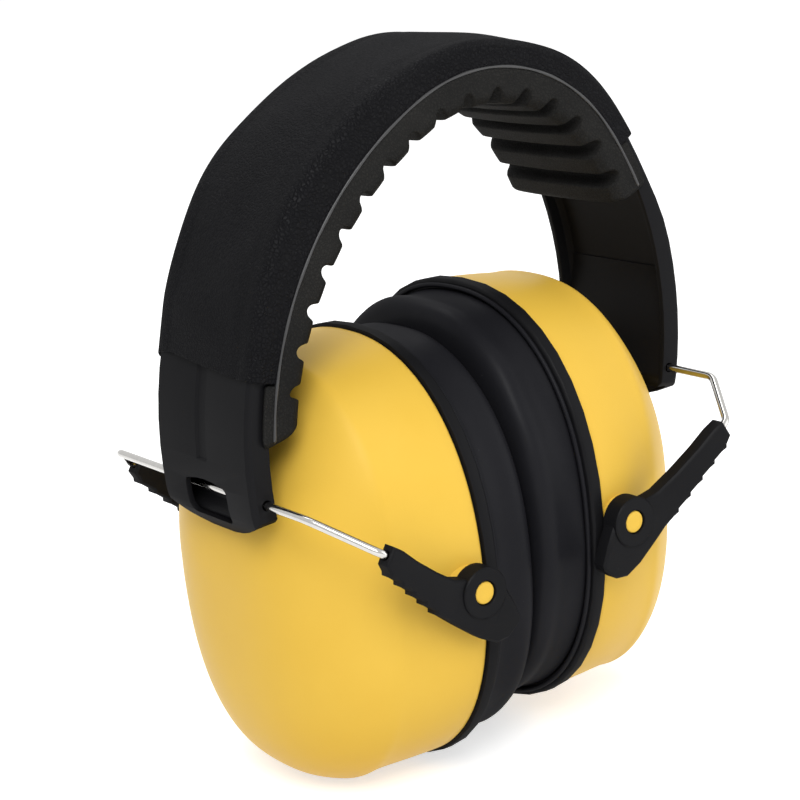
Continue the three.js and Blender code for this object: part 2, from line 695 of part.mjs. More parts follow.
// A flat boss on the shell's side, cut off in line with the rim, and the pin that the arm turns on
function trunnion(side) {
  const cut = Math.PI - Math.acos((trunnionOutset - bossSetback) / bossRadius);
  const profile = new THREE.Shape();
  profile.absarc(0, 0, bossRadius, -cut, cut);
  const bossRoot = cupHalfWidth - cupWall + seatGap / 2;
  const depth = bossReach - bossRoot;
  const facets = { bevelEnabled: false, curveSegments: roundSegments / 2 };
  const boss = new THREE.ExtrudeGeometry(profile, { depth, ...facets });
  boss.rotateX(-Math.PI / 2).translate(trunnionOutset, bossRoot, 0);
  const pinReach = armFace + eyeRise - trunnionRecess;
  const pin = rodAlongY(trunnionRadius, bossReach - overrun, pinReach, trunnionOutset, 0);
  const both = solidOf(boss).add(solidOf(pin));
  return side > 0 ? both : solidOf(mirroredY(geometryOf(both)));
}

// A ring that follows the rim. The outline holds [inset from the rim, depth] points.
function rimRing(outline, segments = ovalSegments) {
  const ovals = outline.map(([inset, depth]) => {
    const height = cupHalfHeight - inset;
    return oval(depth, cupHalfWidth - inset, [height, height], rimExponent, segments);
  });
  return skin(ovals, { looped: true });
}

const plateBack = -seatGap;
const plateFront = plateBack - plateThickness;

function cushionPlate() {
  const skirtOuter = cupWall + seatGap + runGap;
  const skirtInner = skirtOuter + plateSkirtWall;
  const flangeBack = plateFront + plateFlange;
  return rimRing([
    [-plateProud, plateBack],
    [-plateProud, plateFront + plateBevel],
    [-plateProud + plateBevel, plateFront],
    [plateWidth, plateFront],
    [plateWidth, flangeBack],
    [skirtInner, flangeBack],
    [skirtInner, plateSkirt],
    [skirtOuter, plateSkirt],
    [skirtOuter, plateBack],
  ]);
}

const cushionBack = plateFront - seatGap;
const cushionFront = cushionBack - cushionHeight; // crown excluded

// The cushion's outside from its outer foot over the crown to its inner foot, drawn in by an inset
function cushionArc(inset, [outerCount, innerCount]) {
  const outer = inset + cushionSetIn;
  const inner = cushionWidth - inset;
  const front = cushionFront + inset;
  const bend = (centre, depth, radius, from, to, count) =>
    Array.from({ length: count }, (_, i) => {
      const angle = from + ((to - from) * i) / (count - 1);
      return [centre - radius * Math.cos(angle), depth - radius * Math.sin(angle)];
    });
  const outerRound = cushionRound - inset;
  const innerRound = cushionInnerRound - inset;
  return [
    [outer + cushionNeck, cushionBack],
    [outer, cushionBack - cushionNeck],
    ...bend(outer + outerRound, front + outerRound, outerRound, 0, Math.PI / 2, outerCount),
    [(outer + inner) / 2, front - cushionCrown],
    ...bend(inner - innerRound, front + innerRound, innerRound, Math.PI / 2, Math.PI, innerCount),
    [inner, cushionBack],
  ];
}

function earCushion() {
  return rimRing([...cushionArc(0, cushionFacets), ...cushionArc(cushionSkin, cushionInnerFacets).reverse()]);
}

function cushionFoam() {
  return rimRing(cushionArc(cushionSkin + seatGap, cushionInnerFacets), foamSegments);
}

// A thick foam sheet that lines the dome, with a soft front edge
function cupLiner() {
  const inset = cupWall + seatGap;
  const reach = cupDepth - inset;
  const back = [0, ...linerDomeShares].map((share) =>
    shellOval(creaseDepth + share * (reach - creaseDepth), inset, foamSegments),
  );
  const face = (share, depth) =>
    shellOval(creaseDepth, inset, foamSegments).map((p) => new THREE.Vector3(depth, p.y * share, p.z * share));
  const front = [
    shellOval(linerFace + linerRound, inset + seatGap, foamSegments),
    face(1 - linerRound / cupHalfWidth, linerFace),
    face(linerMiddleShare, linerFace - linerCrown),
  ];
  const frontPole = [new THREE.Vector3(linerFace - linerCrown, 0, 0)];
  const backPole = [new THREE.Vector3(reach, 0, 0)];
  return skin([frontPole, ...front.reverse(), ...back, backPole]);
}

// Assembly

function mesh(name, geometry, material) {
  geometry.computeVertexNormals();
  const made = new THREE.Mesh(geometry, material);
  made.name = name;
  return made;
}

const earmuff = new THREE.Group();
earmuff.name = "earmuff";
const headband = new THREE.Group();
headband.position.y = bandShift;
headband.add(mesh("headband_spring", headbandSpring(), springSteel));
headband.add(mesh("headband_cover", headbandCover(), leatherette));
headband.add(mesh("headband_pad", headbandPad(), blackFoam));
earmuff.add(headband);

// One muff: its slider, yoke and cup, drawn on the +X side and turned half round for the left.
// The yoke leans so that the cushion just meets the middle plane, and the cup hangs upright. Where
// the arch is too wide for that, the cups hang apart.
const trunnionX = contactHalfGap + cushionCrown - cushionFront + trunnionOutset;

function muff(name, centre, wireDrop, turn) {
  const sliding = new THREE.Group();
  sliding.name = "slider_" + name + "_group";
  sliding.position.set(centre.x, 0, centre.y);
  sliding.rotation.y = wireDrop;
  const shift = turn ? -bandShift : bandShift;
  const channel = mesh("slider_" + name, slider(), blackPlastic);
  channel.position.y = shift;
  sliding.add(channel);

  const wireX = centre.x + wireAxisRadius * Math.cos(wireDrop);
  const hangX = Math.max(trunnionX, wireX - yokeLength * Math.cos(leastYokeLean));
  const yokeLean = Math.acos((wireX - hangX) / yokeLength);
  const yoke = new THREE.Group();
  yoke.name = "yoke_" + name + "_group";
  yoke.position.x = wireAxisRadius;
  yoke.rotation.y = -yokeLean - wireDrop;
  yoke.add(mesh("yoke_wire_" + name, yokeWire(shift), wireSteel));
  const armAtPlusY = forkArm();
  const [nameAtPlusY, nameAtMinusY] = turn ? ["front", "rear"] : ["rear", "front"];
  yoke.add(mesh(nameAtPlusY + "_arm_" + name, armAtPlusY, blackPlastic));
  yoke.add(mesh(nameAtMinusY + "_arm_" + name, mirroredY(armAtPlusY), blackPlastic));

  const cup = new THREE.Group();
  cup.name = "cup_" + name + "_group";
  cup.position.x = -yokeLength;
  cup.rotation.y = yokeLean;
  const cupParts = new THREE.Group();
  cupParts.position.x = -trunnionOutset;
  cupParts.add(mesh("cup_shell_" + name, cupShell(), shellYellow));
  cupParts.add(mesh("cushion_plate_" + name, cushionPlate(), blackPlastic));
  cupParts.add(mesh("ear_cushion_" + name, earCushion(), cushionVinyl));
  cupParts.add(mesh("cushion_foam_" + name, cushionFoam(), greyFoam));
  cupParts.add(mesh("cup_liner_" + name, cupLiner(), greyFoam));
  cup.add(cupParts);

  yoke.add(cup);
  sliding.add(yoke);
  const side = new THREE.Group();
  side.rotation.z = turn;
  side.add(sliding);
  return side;
}

earmuff.add(muff("left", new THREE.Vector2(-leftCentre.x, leftCentre.y), leftWireDrop, Math.PI));
earmuff.add(muff("right", rightCentre, rightWireDrop, 0));

// The whole is set over the origin, on its lowest point.
const bounds = new THREE.Box3().setFromObject(earmuff, true);
const middle = bounds.getCenter(new THREE.Vector3());
earmuff.position.set(-middle.x, -middle.y, -bounds.min.z);

export default earmuff;
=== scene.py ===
"""Looks of a folding earmuff hearing protector: leathery headband, foam pad, oval cups, soft cushions."""

import math

import bpy
import numpy as np
from mathutils import Matrix, Vector


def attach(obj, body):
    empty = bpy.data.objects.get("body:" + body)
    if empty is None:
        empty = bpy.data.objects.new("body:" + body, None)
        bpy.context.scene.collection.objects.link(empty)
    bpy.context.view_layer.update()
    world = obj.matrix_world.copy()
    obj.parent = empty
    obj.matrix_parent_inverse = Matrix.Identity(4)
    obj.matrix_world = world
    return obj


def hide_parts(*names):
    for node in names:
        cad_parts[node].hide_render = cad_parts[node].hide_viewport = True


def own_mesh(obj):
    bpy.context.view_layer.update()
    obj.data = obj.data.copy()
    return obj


MM = 0.001

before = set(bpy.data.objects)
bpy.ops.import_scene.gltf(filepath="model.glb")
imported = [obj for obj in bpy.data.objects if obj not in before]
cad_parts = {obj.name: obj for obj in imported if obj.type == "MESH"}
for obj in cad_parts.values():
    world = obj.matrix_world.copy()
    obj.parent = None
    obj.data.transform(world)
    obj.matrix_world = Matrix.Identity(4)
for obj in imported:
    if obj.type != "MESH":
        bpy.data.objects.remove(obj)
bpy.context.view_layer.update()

# Camera, at the photograph's viewpoint

AZIMUTH, ELEVATION, ROLL = (math.radians(angle) for angle in (-34.83, 15.03, -5.35))
CAMERA_PLACE = Vector((-0.2849, -0.4032, 0.2113))
FOCAL_LENGTH, SENSOR = 100.6, 36.0
CAMERA_SHIFT = (-0.002, 0.004)


def photo_camera():
    """A camera whose view runs along the azimuth and elevation, rolled about its own axis."""
    forward = Vector(
        (
            -math.sin(AZIMUTH) * math.cos(ELEVATION),
            math.cos(AZIMUTH) * math.cos(ELEVATION),
            -math.sin(ELEVATION),
        )
    )
    level = forward.cross(Vector((0, 0, 1))).normalized()
    upright = level.cross(forward)
    right = math.cos(ROLL) * level + math.sin(ROLL) * upright
    up = math.cos(ROLL) * upright - math.sin(ROLL) * level
    camera = bpy.data.objects.new("camera", bpy.data.cameras.new("camera"))
    camera.data.lens = FOCAL_LENGTH
    camera.data.sensor_width = SENSOR
    camera.data.clip_start = 0.01
    camera.data.shift_x, camera.data.shift_y = CAMERA_SHIFT
    turn = Matrix((right, up, -forward)).transposed().to_4x4()
    camera.matrix_world = Matrix.Translation(CAMERA_PLACE) @ turn
    bpy.context.scene.collection.objects.link(camera)
    bpy.context.scene.camera = camera


photo_camera()

# Meshes from grids of points


def smoothstep(x, low, high):
    """3t^2 - 2t^3, where t runs from 0 at low to 1 at high."""
    t = np.clip((x - low) / (high - low), 0, 1)
    return t * t * (3 - 2 * t)


def full_turn(count):
    """So many angles at equal steps round a circle."""
    return np.linspace(0, 2 * np.pi, count, endpoint=False)


def softened(points, passes, closed=False):
    """Each pass moves a point to a quarter of each neighbour and half of itself along the first axis."""
    for _ in range(passes):
        mixed = 0.25 * np.roll(points, 1, 0) + 0.5 * points + 0.25 * np.roll(points, -1, 0)
        if not closed:
            mixed[0], mixed[-1] = points[0], points[-1]
        points = mixed
    return points


def resampled(points, count):
    """The points of an open line that lie at equal steps of length along it."""
    points = np.asarray(points, float)
    length = np.r_[0, np.cumsum(np.linalg.norm(np.diff(points, axis=0), axis=1))]
    at = np.linspace(0, length[-1], count)
    return np.stack([np.interp(at, length, points[:, k]) for k in range(points.shape[1])], axis=1)


def grid_piece(name, points, body, material, loop_u=False, loop_v=True):
    """A mesh over a grid of points, in mm: a quad joins each point to the next ones along u and v.

    The faces are turned round where the solid's signed volume is negative. A weld joins the points
    that a pole repeats.
    """
    rows, columns, _ = points.shape
    u = np.arange(rows if loop_u else rows - 1)[:, None]
    v = np.arange(columns if loop_v else columns - 1)[None, :]
    next_u, next_v = (u + 1) % rows, (v + 1) % columns
    corners = [u * columns + v, next_u * columns + v, next_u * columns + next_v, u * columns + next_v]
    faces = np.stack([c.ravel() for c in np.broadcast_arrays(*corners)], axis=1)
    flat = points.reshape(-1, 3) * MM
    a, b, c, d = (flat[faces[:, k]] for k in range(4))
    volume = sum(np.einsum("ij,ij->i", a, np.cross(*pair)).sum() for pair in ((b, c), (c, d)))
    if volume < 0:
        faces = faces[:, ::-1]
    mesh = bpy.data.meshes.new(name)
    mesh.from_pydata(flat, [], faces)
    mesh.update()
    piece = bpy.data.objects.new(name, mesh)
    bpy.context.scene.collection.objects.link(piece)
    mesh.shade_smooth()
    piece.modifiers.new("poles", "WELD").merge_threshold = 1e-6
    mesh.materials.append(material)
    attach(piece, body)
    return piece


# Effects that several materials share, as groups of nodes


def node(tree, kind, inputs=None, **settings):
    """A shader node with its settings, whose inputs are values or other nodes' sockets."""
    made = tree.nodes.new(kind)
    for key, value in settings.items():
        setattr(made, key, value)
    for key, value in (inputs or {}).items():
        socket = made.inputs[key]
        if isinstance(value, bpy.types.NodeSocket):
            tree.links.new(value, socket)
        else:
            socket.default_value = value
    return made


def maths(tree, operation, a, b=0.0, clamp=False):
    """The result socket of a Math node."""
    return node(tree, "ShaderNodeMath", {0: a, 1: b}, operation=operation, use_clamp=clamp).outputs[0]


def effect(name, inputs, outputs):
    """An empty node group with named sockets: inputs maps a name to its kind and value."""
    tree = bpy.data.node_groups.new(name, "ShaderNodeTree")
    for label, (kind, value) in inputs.items():
        socket = tree.interface.new_socket(label, in_out="INPUT", socket_type=kind)
        if value is not None:
            socket.default_value = value
    for label, kind in outputs.items():
        tree.interface.new_socket(label, in_out="OUTPUT", socket_type=kind)
    return tree, tree.nodes.new("NodeGroupInput").outputs, tree.nodes.new("NodeGroupOutput").inputs


def leather_grain():
    """Pebbles: the distance to the edges of warped Voronoi cells, with finer pores laid over them."""
    tree, given, out = effect(
        "leather grain",
        {"Place": ("NodeSocketVector", None), "Cells per metre": ("NodeSocketFloat", 1100.0)},
        {"Height": "NodeSocketFloat", "Crease": "NodeSocketFloat"},
    )
    density = given["Cells per metre"]
    warp = node(tree, "ShaderNodeTexNoise", {"Vector": given["Place"], "Scale": density, "Detail": 2.0})
    centred = node(
        tree, "ShaderNodeVectorMath", {0: warp.outputs["Color"], 1: (0.5, 0.5, 0.5)}, operation="SUBTRACT"
    )
    reach = maths(tree, "DIVIDE", 0.9, density)
    shift = node(tree, "ShaderNodeVectorMath", {0: centred.outputs[0], "Scale": reach}, operation="SCALE")
    place = node(tree, "ShaderNodeVectorMath", {0: given["Place"], 1: shift.outputs[0]}, operation="ADD")
    cells = node(
        tree,
        "ShaderNodeTexVoronoi",
        {"Vector": place.outputs[0], "Scale": density},
        feature="DISTANCE_TO_EDGE",
    )
    pebble = node(tree, "ShaderNodeMapRange", {"Value": cells.outputs[0], "From Max": 0.22})
    pores = node(
        tree,
        "ShaderNodeTexNoise",
        {"Vector": given["Place"], "Scale": maths(tree, "MULTIPLY", density, 3.0), "Detail": 1.0},
    )
    fine = maths(tree, "MULTIPLY", pores.outputs[0], 0.25)
    tree.links.new(maths(tree, "ADD", pebble.outputs[0], fine), out["Height"])
    # Crease: 1 between the pebbles; the leather dulls it there, and darkens its colour there as painted shade
    tree.links.new(maths(tree, "SUBTRACT", 1.0, pebble.outputs[0], clamp=True), out["Crease"])
    return tree


def moulded_grain():
    """The fine texture of a spark-eroded mould, and the slow unevenness of a moulded wall."""
    tree, given, out = effect(
        "moulded grain",
        {"Place": ("NodeSocketVector", None), "Grains per metre": ("NodeSocketFloat", 4000.0)},
        {"Height": "NodeSocketFloat", "Mottle": "NodeSocketFloat"},
    )
    grains = node(
        tree,
        "ShaderNodeTexNoise",
        {"Vector": given["Place"], "Scale": given["Grains per metre"], "Detail": 2.0, "Roughness": 0.6},
    )
    mottle = node(tree, "ShaderNodeTexNoise", {"Vector": given["Place"], "Scale": 45.0, "Detail": 3.0})
    tree.links.new(grains.outputs[0], out["Height"])
    tree.links.new(mottle.outputs[0], out["Mottle"])
    return tree


def lint():
    """Specks of dust: the middles of a few large Voronoi cells, picked by the cell's own colour."""
    tree, given, out = effect(
        "lint",
        {"Place": ("NodeSocketVector", None), "Cells per metre": ("NodeSocketFloat", 260.0)},
        {"Speck": "NodeSocketFloat"},
    )
    cells = node(
        tree, "ShaderNodeTexVoronoi", {"Vector": given["Place"], "Scale": given["Cells per metre"]}
    )
    near = maths(tree, "LESS_THAN", cells.outputs["Distance"], 0.035)
    pick = node(tree, "ShaderNodeSeparateColor", {0: cells.outputs["Color"]})
    chosen = maths(tree, "GREATER_THAN", pick.outputs[0], 0.8)
    tree.links.new(maths(tree, "MULTIPLY", near, chosen), out["Speck"])
    return tree


LEATHER_GRAIN, MOULDED_GRAIN, LINT = leather_grain(), moulded_grain(), lint()

# Materials. The blacks but the welt shine by a thin rough coat alone, so that the white surroundings
# don't grey them.

BLACK_SHEEN = {"Specular IOR Level": 0.0, "Coat Weight": 0.13, "Coat Roughness": 0.4}


def material(name, roughness, plain):
    """A material with a Principled BSDF, whose plain values are set on the shader's own sockets."""
    made = bpy.data.materials.new(name)
    made.use_nodes = True
    tree = made.node_tree
    shader = tree.nodes["Principled BSDF"]
    shader.inputs["Roughness"].default_value = roughness
    for label, value in plain.items():
        shader.inputs[label].default_value = value
    place = node(tree, "ShaderNodeTexCoord").outputs["Object"]
    return made, tree, shader, place


def use(tree, effect_tree, inputs):
    """A shared effect placed in a material, and its outputs."""
    placed = node(tree, "ShaderNodeGroup", node_tree=effect_tree)
    for key, value in inputs.items():
        if isinstance(value, bpy.types.NodeSocket):
            tree.links.new(value, placed.inputs[key])
        else:
            placed.inputs[key].default_value = value
    return placed.outputs


def colour_between(tree, shader, factor, low, high):
    """The base colour runs from one colour to another with a factor."""
    mix = node(tree, "ShaderNodeMix", data_type="RGBA")
    tree.links.new(factor, mix.inputs["Factor"])
    mix.inputs[6].default_value = (*low, 1)
    mix.inputs[7].default_value = (*high, 1)
    tree.links.new(mix.outputs[2], shader.inputs["Base Color"])


def roughness_between(tree, shader, factor, low, high):
    """The roughness runs from one value to another with a factor."""
    ranged = node(tree, "ShaderNodeMapRange", {"Value": factor, "To Min": low, "To Max": high})
    tree.links.new(ranged.outputs[0], shader.inputs["Roughness"])


def bumped(tree, shader, height, depth, strength=1.0):
    """A Bump node turns a height of so many metres into the shader's normal, and its coat's."""
    bump = node(tree, "ShaderNodeBump", {"Height": height, "Distance": depth, "Strength": strength})
    tree.links.new(bump.outputs[0], shader.inputs["Normal"])
    tree.links.new(bump.outputs[0], shader.inputs["Coat Normal"])


def shell_plastic():
    """Warm yellow satin plastic, slightly uneven in colour, with a fine moulded texture."""
    made, tree, shader, place = material("shell_yellow", 0.5, {"Specular IOR Level": 0.14})
    grain = use(tree, MOULDED_GRAIN, {"Place": place, "Grains per metre": 2600.0})
    colour_between(tree, shader, grain["Mottle"], (0.785, 0.485, 0.058), (0.845, 0.545, 0.078))
    roughness_between(tree, shader, grain["Mottle"], 0.36, 0.46)
    bumped(tree, shader, grain["Height"], 0.00004, 0.5)
    return made


def black_plastic(name, sheen):
    """Black satin plastic with a fine texture and a few specks of dust."""
    made, tree, shader, place = material(name, 0.42, sheen)
    grain = use(tree, MOULDED_GRAIN, {"Place": place, "Grains per metre": 3600.0})
    specks = use(tree, LINT, {"Place": place})
    tone = maths(tree, "ADD", maths(tree, "MULTIPLY", grain["Mottle"], 0.3), specks["Speck"], clamp=True)
    colour_between(tree, shader, tone, (0.007, 0.007, 0.008), (0.02, 0.02, 0.021))
    roughness_between(tree, shader, grain["Mottle"], 0.34, 0.5)
    bumped(tree, shader, grain["Height"], 0.00003, 0.6)
    return made


def leather(name, cells, low, high, rough, depth):
    """Black leathery skin: pebbles with duller creases between them, and painted shade that darkens the
    creases.
    """
    made, tree, shader, place = material(name, rough[0], BLACK_SHEEN)
    grain = use(tree, LEATHER_GRAIN, {"Place": place, "Cells per metre": cells})
    mottle = use(tree, MOULDED_GRAIN, {"Place": place})["Mottle"]
    # painted shade: the colour darkens in the creases between the pebbles, on top of the random mottle
    tone = maths(tree, "SUBTRACT", mottle, maths(tree, "MULTIPLY", grain["Crease"], 0.4), clamp=True)
    colour_between(tree, shader, tone, low, high)
    roughness_between(tree, shader, grain["Crease"], *rough)
    bumped(tree, shader, grain["Height"], depth)
    return made


def soft_vinyl():
    """Smooth soft black vinyl, with a slow unevenness in its shine and a few specks of dust."""
    made, tree, shader, place = material("cushion_vinyl", 0.42, BLACK_SHEEN)
    grain = use(tree, MOULDED_GRAIN, {"Place": place, "Grains per metre": 1500.0})
    specks = use(tree, LINT, {"Place": place, "Cells per metre": 200.0})
    tone = maths(tree, "ADD", maths(tree, "MULTIPLY", grain["Mottle"], 0.4), specks["Speck"], clamp=True)
    colour_between(tree, shader, tone, (0.008, 0.008, 0.010), (0.032, 0.032, 0.036))
    roughness_between(tree, shader, grain["Mottle"], 0.36, 0.52)
    bumped(tree, shader, grain["Height"], 0.00004, 0.4)
    return made


def open_foam():
    """Grey open-cell foam: pits at the middles of soft Voronoi cells, with painted shade that darkens the
    pits below what parts them.
    """
    made, tree, shader, place = material("grey_foam", 0.95, {"Specular IOR Level": 0.2})
    cells = node(tree, "ShaderNodeTexVoronoi", {"Vector": place, "Scale": 1700.0}, feature="SMOOTH_F1")
    # painted shade: the colour darkens in the pits, where the bump is lowest
    colour_between(tree, shader, cells.outputs["Distance"], (0.02, 0.02, 0.022), (0.09, 0.09, 0.095))
    bumped(tree, shader, cells.outputs["Distance"], 0.0003)
    return made


def steel(name, colour, rough, stretch):
    """Bright steel with fine scratches, drawn out along one axis by a Mapping node."""
    made, tree, shader, place = material(name, rough[0], {"Metallic": 1.0})
    along = node(tree, "ShaderNodeMapping", {"Vector": place, "Scale": stretch})
    scratches = node(tree, "ShaderNodeTexNoise", {"Vector": along.outputs[0], "Scale": 900.0, "Detail": 3.0})
    colour_between(tree, shader, scratches.outputs[0], [c * 0.85 for c in colour], colour)
    roughness_between(tree, shader, scratches.outputs[0], *rough)
    bumped(tree, shader, scratches.outputs[0], 0.00001, 0.5)
    return made


SHELL = shell_plastic()
PLASTIC = black_plastic("black_plastic", BLACK_SHEEN)
# each leather runs from its dark colour to its light one by random mottle, and towards the dark one in the
# creases as painted shade
COVER_LEATHER = leather(
    "cover_leather", 1150.0, (0.003, 0.003, 0.004), (0.010, 0.010, 0.011), rough=(0.4, 0.56), depth=0.00016
)
PAD_SKIN = leather(
    "pad_skin", 1500.0, (0.008, 0.008, 0.008), (0.026, 0.025, 0.023), rough=(0.4, 0.6), depth=0.00008
)
VINYL = soft_vinyl()
FOAM = open_foam()
SPRING = steel("spring_steel", (0.42, 0.43, 0.44), (0.3, 0.45), (0.05, 1, 0.05))
WELT = black_plastic("welded_edge", BLACK_SHEEN | {"Specular IOR Level": 0.6})
WIRE = steel("wire_steel", (0.56, 0.55, 0.53), (0.1, 0.2), (1, 1, 1))

# The arch, followed along the seam between cover and pad

SIDE_RADIUS, CROWN_RADIUS = 80.95, 41.0
CROWN_CENTRE = np.array([7.762, 114.906])
LEFT_JOIN, RIGHT_JOIN = np.radians([64, 145.8])
COVER_LEFT, COVER_RIGHT = np.radians([12.4, 150.2])
BAND_SHIFT = -5.2
LEFT_ARC = SIDE_RADIUS * (LEFT_JOIN - COVER_LEFT)
CROWN_ARC = CROWN_RADIUS * (RIGHT_JOIN - LEFT_JOIN)
COVER_LENGTH = LEFT_ARC + CROWN_ARC + SIDE_RADIUS * (COVER_RIGHT - RIGHT_JOIN)


def on_arch(length, across, out):
    """Points at a length along the seam: centre + (radius + out) * (-cos heading, sin heading).

    The heading grows by length over radius, on the left side, the crown and the right side in turn.
    """
    left = COVER_LEFT + length / SIDE_RADIUS
    crown = LEFT_JOIN + (length - LEFT_ARC) / CROWN_RADIUS
    right = RIGHT_JOIN + (length - LEFT_ARC - CROWN_ARC) / SIDE_RADIUS
    heading = np.where(length < LEFT_ARC, left, np.where(length < LEFT_ARC + CROWN_ARC, crown, right))
    join = np.where(heading < LEFT_JOIN, LEFT_JOIN, RIGHT_JOIN)
    on_side = (heading < LEFT_JOIN) | (heading > RIGHT_JOIN)
    inward = np.where(on_side, CROWN_RADIUS - SIDE_RADIUS, 0.0)
    centre_x = CROWN_CENTRE[0] - inward * np.cos(join)
    centre_z = CROWN_CENTRE[1] + inward * np.sin(join)
    radius = np.where(on_side, SIDE_RADIUS, CROWN_RADIUS) + out
    x = centre_x - radius * np.cos(heading)
    z = centre_z + radius * np.sin(heading)
    return np.stack(np.broadcast_arrays(x, across + BAND_SHIFT, z), axis=-1)


def rounded(outline, per_side, passes):
    """A closed outline, with so many points on each side, whose corners are softened by averaging."""
    ends = np.roll(outline, -1, 0)
    share = np.linspace(0, 1, per_side, endpoint=False)[None, :, None]
    dense = outline[:, None, :] * (1 - share) + ends[:, None, :] * share
    return softened(dense.reshape(-1, 2), passes, closed=True)


# Headband: the sizes its cover and its pad share. Lengths run along the seam from the cover's left end.

SLIDER_HALF, SLIDER_RISE = 17.4, 5.0
COVER_HALF, COVER_WALL, COVER_LIP = 20.0, 1.0, 0.9
COVER_NEAR_CUT, COVER_FAR_CUT = 2.6, 4.4
COVER_HEIGHTS = [(0, 1), (0.33, 1.3), (0.62, 0.82), (1, 0.82)]
PAD_START, PAD_END, PAD_END_LEAN = -11.4, COVER_LENGTH + 12.7, 2.8

# Grooves of the pad: the last lies one of 18 equal steps before the end of the ribbed length

GROOVES, GROOVE_WIDTH, GROOVE_DEPTH, RIB_BULGE = 16, 3.2, 3.2, 0.5
RIBBED_END, RIBBED_LENGTH = COVER_LENGTH + 14.3, COVER_LENGTH + 30.2
FIRST_GROOVE, LAST_GROOVE = 0.5, RIBBED_END - RIBBED_LENGTH / 18
RIB_PITCH = (LAST_GROOVE - FIRST_GROOVE) / (GROOVES - 1)


def cover_height(share):
    """The height of the cover's shoulders along its length, eased between the listed shares."""
    height = np.full_like(share, COVER_HEIGHTS[0][1], dtype=float)
    for (start, low), (end, high) in zip(COVER_HEIGHTS, COVER_HEIGHTS[1:]):
        height += (high - low) * smoothstep(share, start, end)
    return height


def cover_section(shoulder):
    """The sleeve's outline: over the shoulders to the lips, and back along its inner face."""
    shoulder_half = SLIDER_HALF + 0.6
    cheek_half = COVER_HALF - 0.2
    inner_half = COVER_HALF - COVER_WALL
    outside = [
        (0, shoulder + 0.3), (5.2, shoulder + 0.3), (10.5, shoulder + 0.2), (shoulder_half, shoulder),
        (cheek_half, 0.7 * shoulder), (COVER_HALF, 0.35 * shoulder), (COVER_HALF, -COVER_LIP),
    ]
    inside = [
        (inner_half, -COVER_LIP), (inner_half, 0.35 * shoulder), (cheek_half - 1, 0.7 * shoulder - 0.5),
        (shoulder_half, shoulder - 1), (5.2, shoulder - 0.7), (0, shoulder - 0.7),
    ]
    return mirrored_sheet(outside, inside)


def mirrored_sheet(outside, inside):
    """A closed outline of a sheet: from its left lip over the outside to the right lip, and back inside."""
    outside, inside = np.array(outside, float), np.array(inside, float)
    over = np.concatenate([outside[:0:-1] * [-1, 1], outside])
    under = np.concatenate([inside, inside[-2::-1] * [-1, 1]])
    return np.concatenate([over, under])


def headband_cover():
    """The sleeve along the arch: rounded sections, with slow ripples and two pressed lines outside.

    out += ripple * sin of the length, strongest at the shoulders, minus a narrow dip where the edges
    of the spring's channel press from within. The left end is cut slanting: the cut grows across,
    and dies away along the cover. Both ends are thinned.
    """
    fade, cut_fade, thin_fade, slant_half = 12, 30, 14, 17
    channel_half, crease_width, crease_depth = 13.6, 1.1, 0.2
    lengths = np.linspace(0, COVER_LENGTH, 340)
    shoulder = (SLIDER_RISE + 1.3) * cover_height(lengths / COVER_LENGTH)
    sections = np.stack([rounded(cover_section(s), 7, 3) for s in shoulder])
    across, out = sections[..., 0], sections[..., 1]
    outside = np.arange(across.shape[1]) < across.shape[1] // 2
    top = smoothstep(out, 2.5, 5.0) * outside
    from_left, from_right = lengths[:, None], COVER_LENGTH - lengths[:, None]
    ripple = 0.26 * np.sin(from_left / 7.3 + across / 7)
    ripple = ripple + 0.14 * np.sin(from_left / 4.1 - across / 5 + 1.3)
    ripple = ripple * smoothstep(from_left, 0, fade) * smoothstep(from_right, 0, fade)
    pressed = crease_depth * np.exp(-(((np.abs(across) - channel_half) / crease_width) ** 2))
    out = out + top * (ripple - pressed)
    slant = smoothstep(across, -slant_half, slant_half) * smoothstep(-across, -COVER_HALF, -slant_half)
    cut = COVER_NEAR_CUT + (COVER_FAR_CUT - COVER_NEAR_CUT) * slant
    cut = cut * (1 - smoothstep(from_left, 0, cut_fade))
    thin = 0.75 * (1 - smoothstep(from_left, 0, thin_fade)) + 0.3 * (1 - smoothstep(from_right, 0, thin_fade))
    points = on_arch(from_left + cut, across, out - thin * top)
    piece = grid_piece("headband_leather", points, "headband", COVER_LEATHER)
    close_ends(piece, len(lengths), across.shape[1])
    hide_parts("headband_cover")


def close_ends(piece, rows, columns):
    """Faces over the two ends of a sleeve: its outer points joined to the inner ones opposite."""
    mesh = piece.data
    points = np.zeros(len(mesh.vertices) * 3)
    mesh.vertices.foreach_get("co", points)
    faces = [tuple(face.vertices) for face in mesh.polygons]
    for row in (0, rows - 1):
        start, end = row * columns, (row + 1) * columns - 1
        for k in range(columns // 2 - 1):
            quad = (start + k, start + k + 1, end - k - 1, end - k)
            faces.append(quad if row == 0 else quad[::-1])
    mesh.clear_geometry()
    mesh.from_pydata(points.reshape(-1, 3), [], faces)
    mesh.update()
    mesh.shade_smooth()


def seam_welts():
    """The glossy welded edge below the cover: a thin tube along the seam on each side."""
    turn = full_turn(10)[None, :]
    start, end = PAD_START + 1.5, PAD_END - 1.5
    along = np.linspace(start, end, 300)[:, None]
    for name, side in (("front", -1), ("rear", 1)):
        radius = 0.36 + 0.05 * np.sin(along / 1.9)
        radius = radius * np.sqrt(np.clip((along - start) * (end - along), 0, 1))
        across = side * (COVER_HALF - 0.15 + radius * np.cos(turn))
        points = on_arch(along, across, -COVER_LIP - 0.1 + radius * np.sin(turn))
        grid_piece("cover_welt_" + name, points, "headband", WELT)


# Headband pad


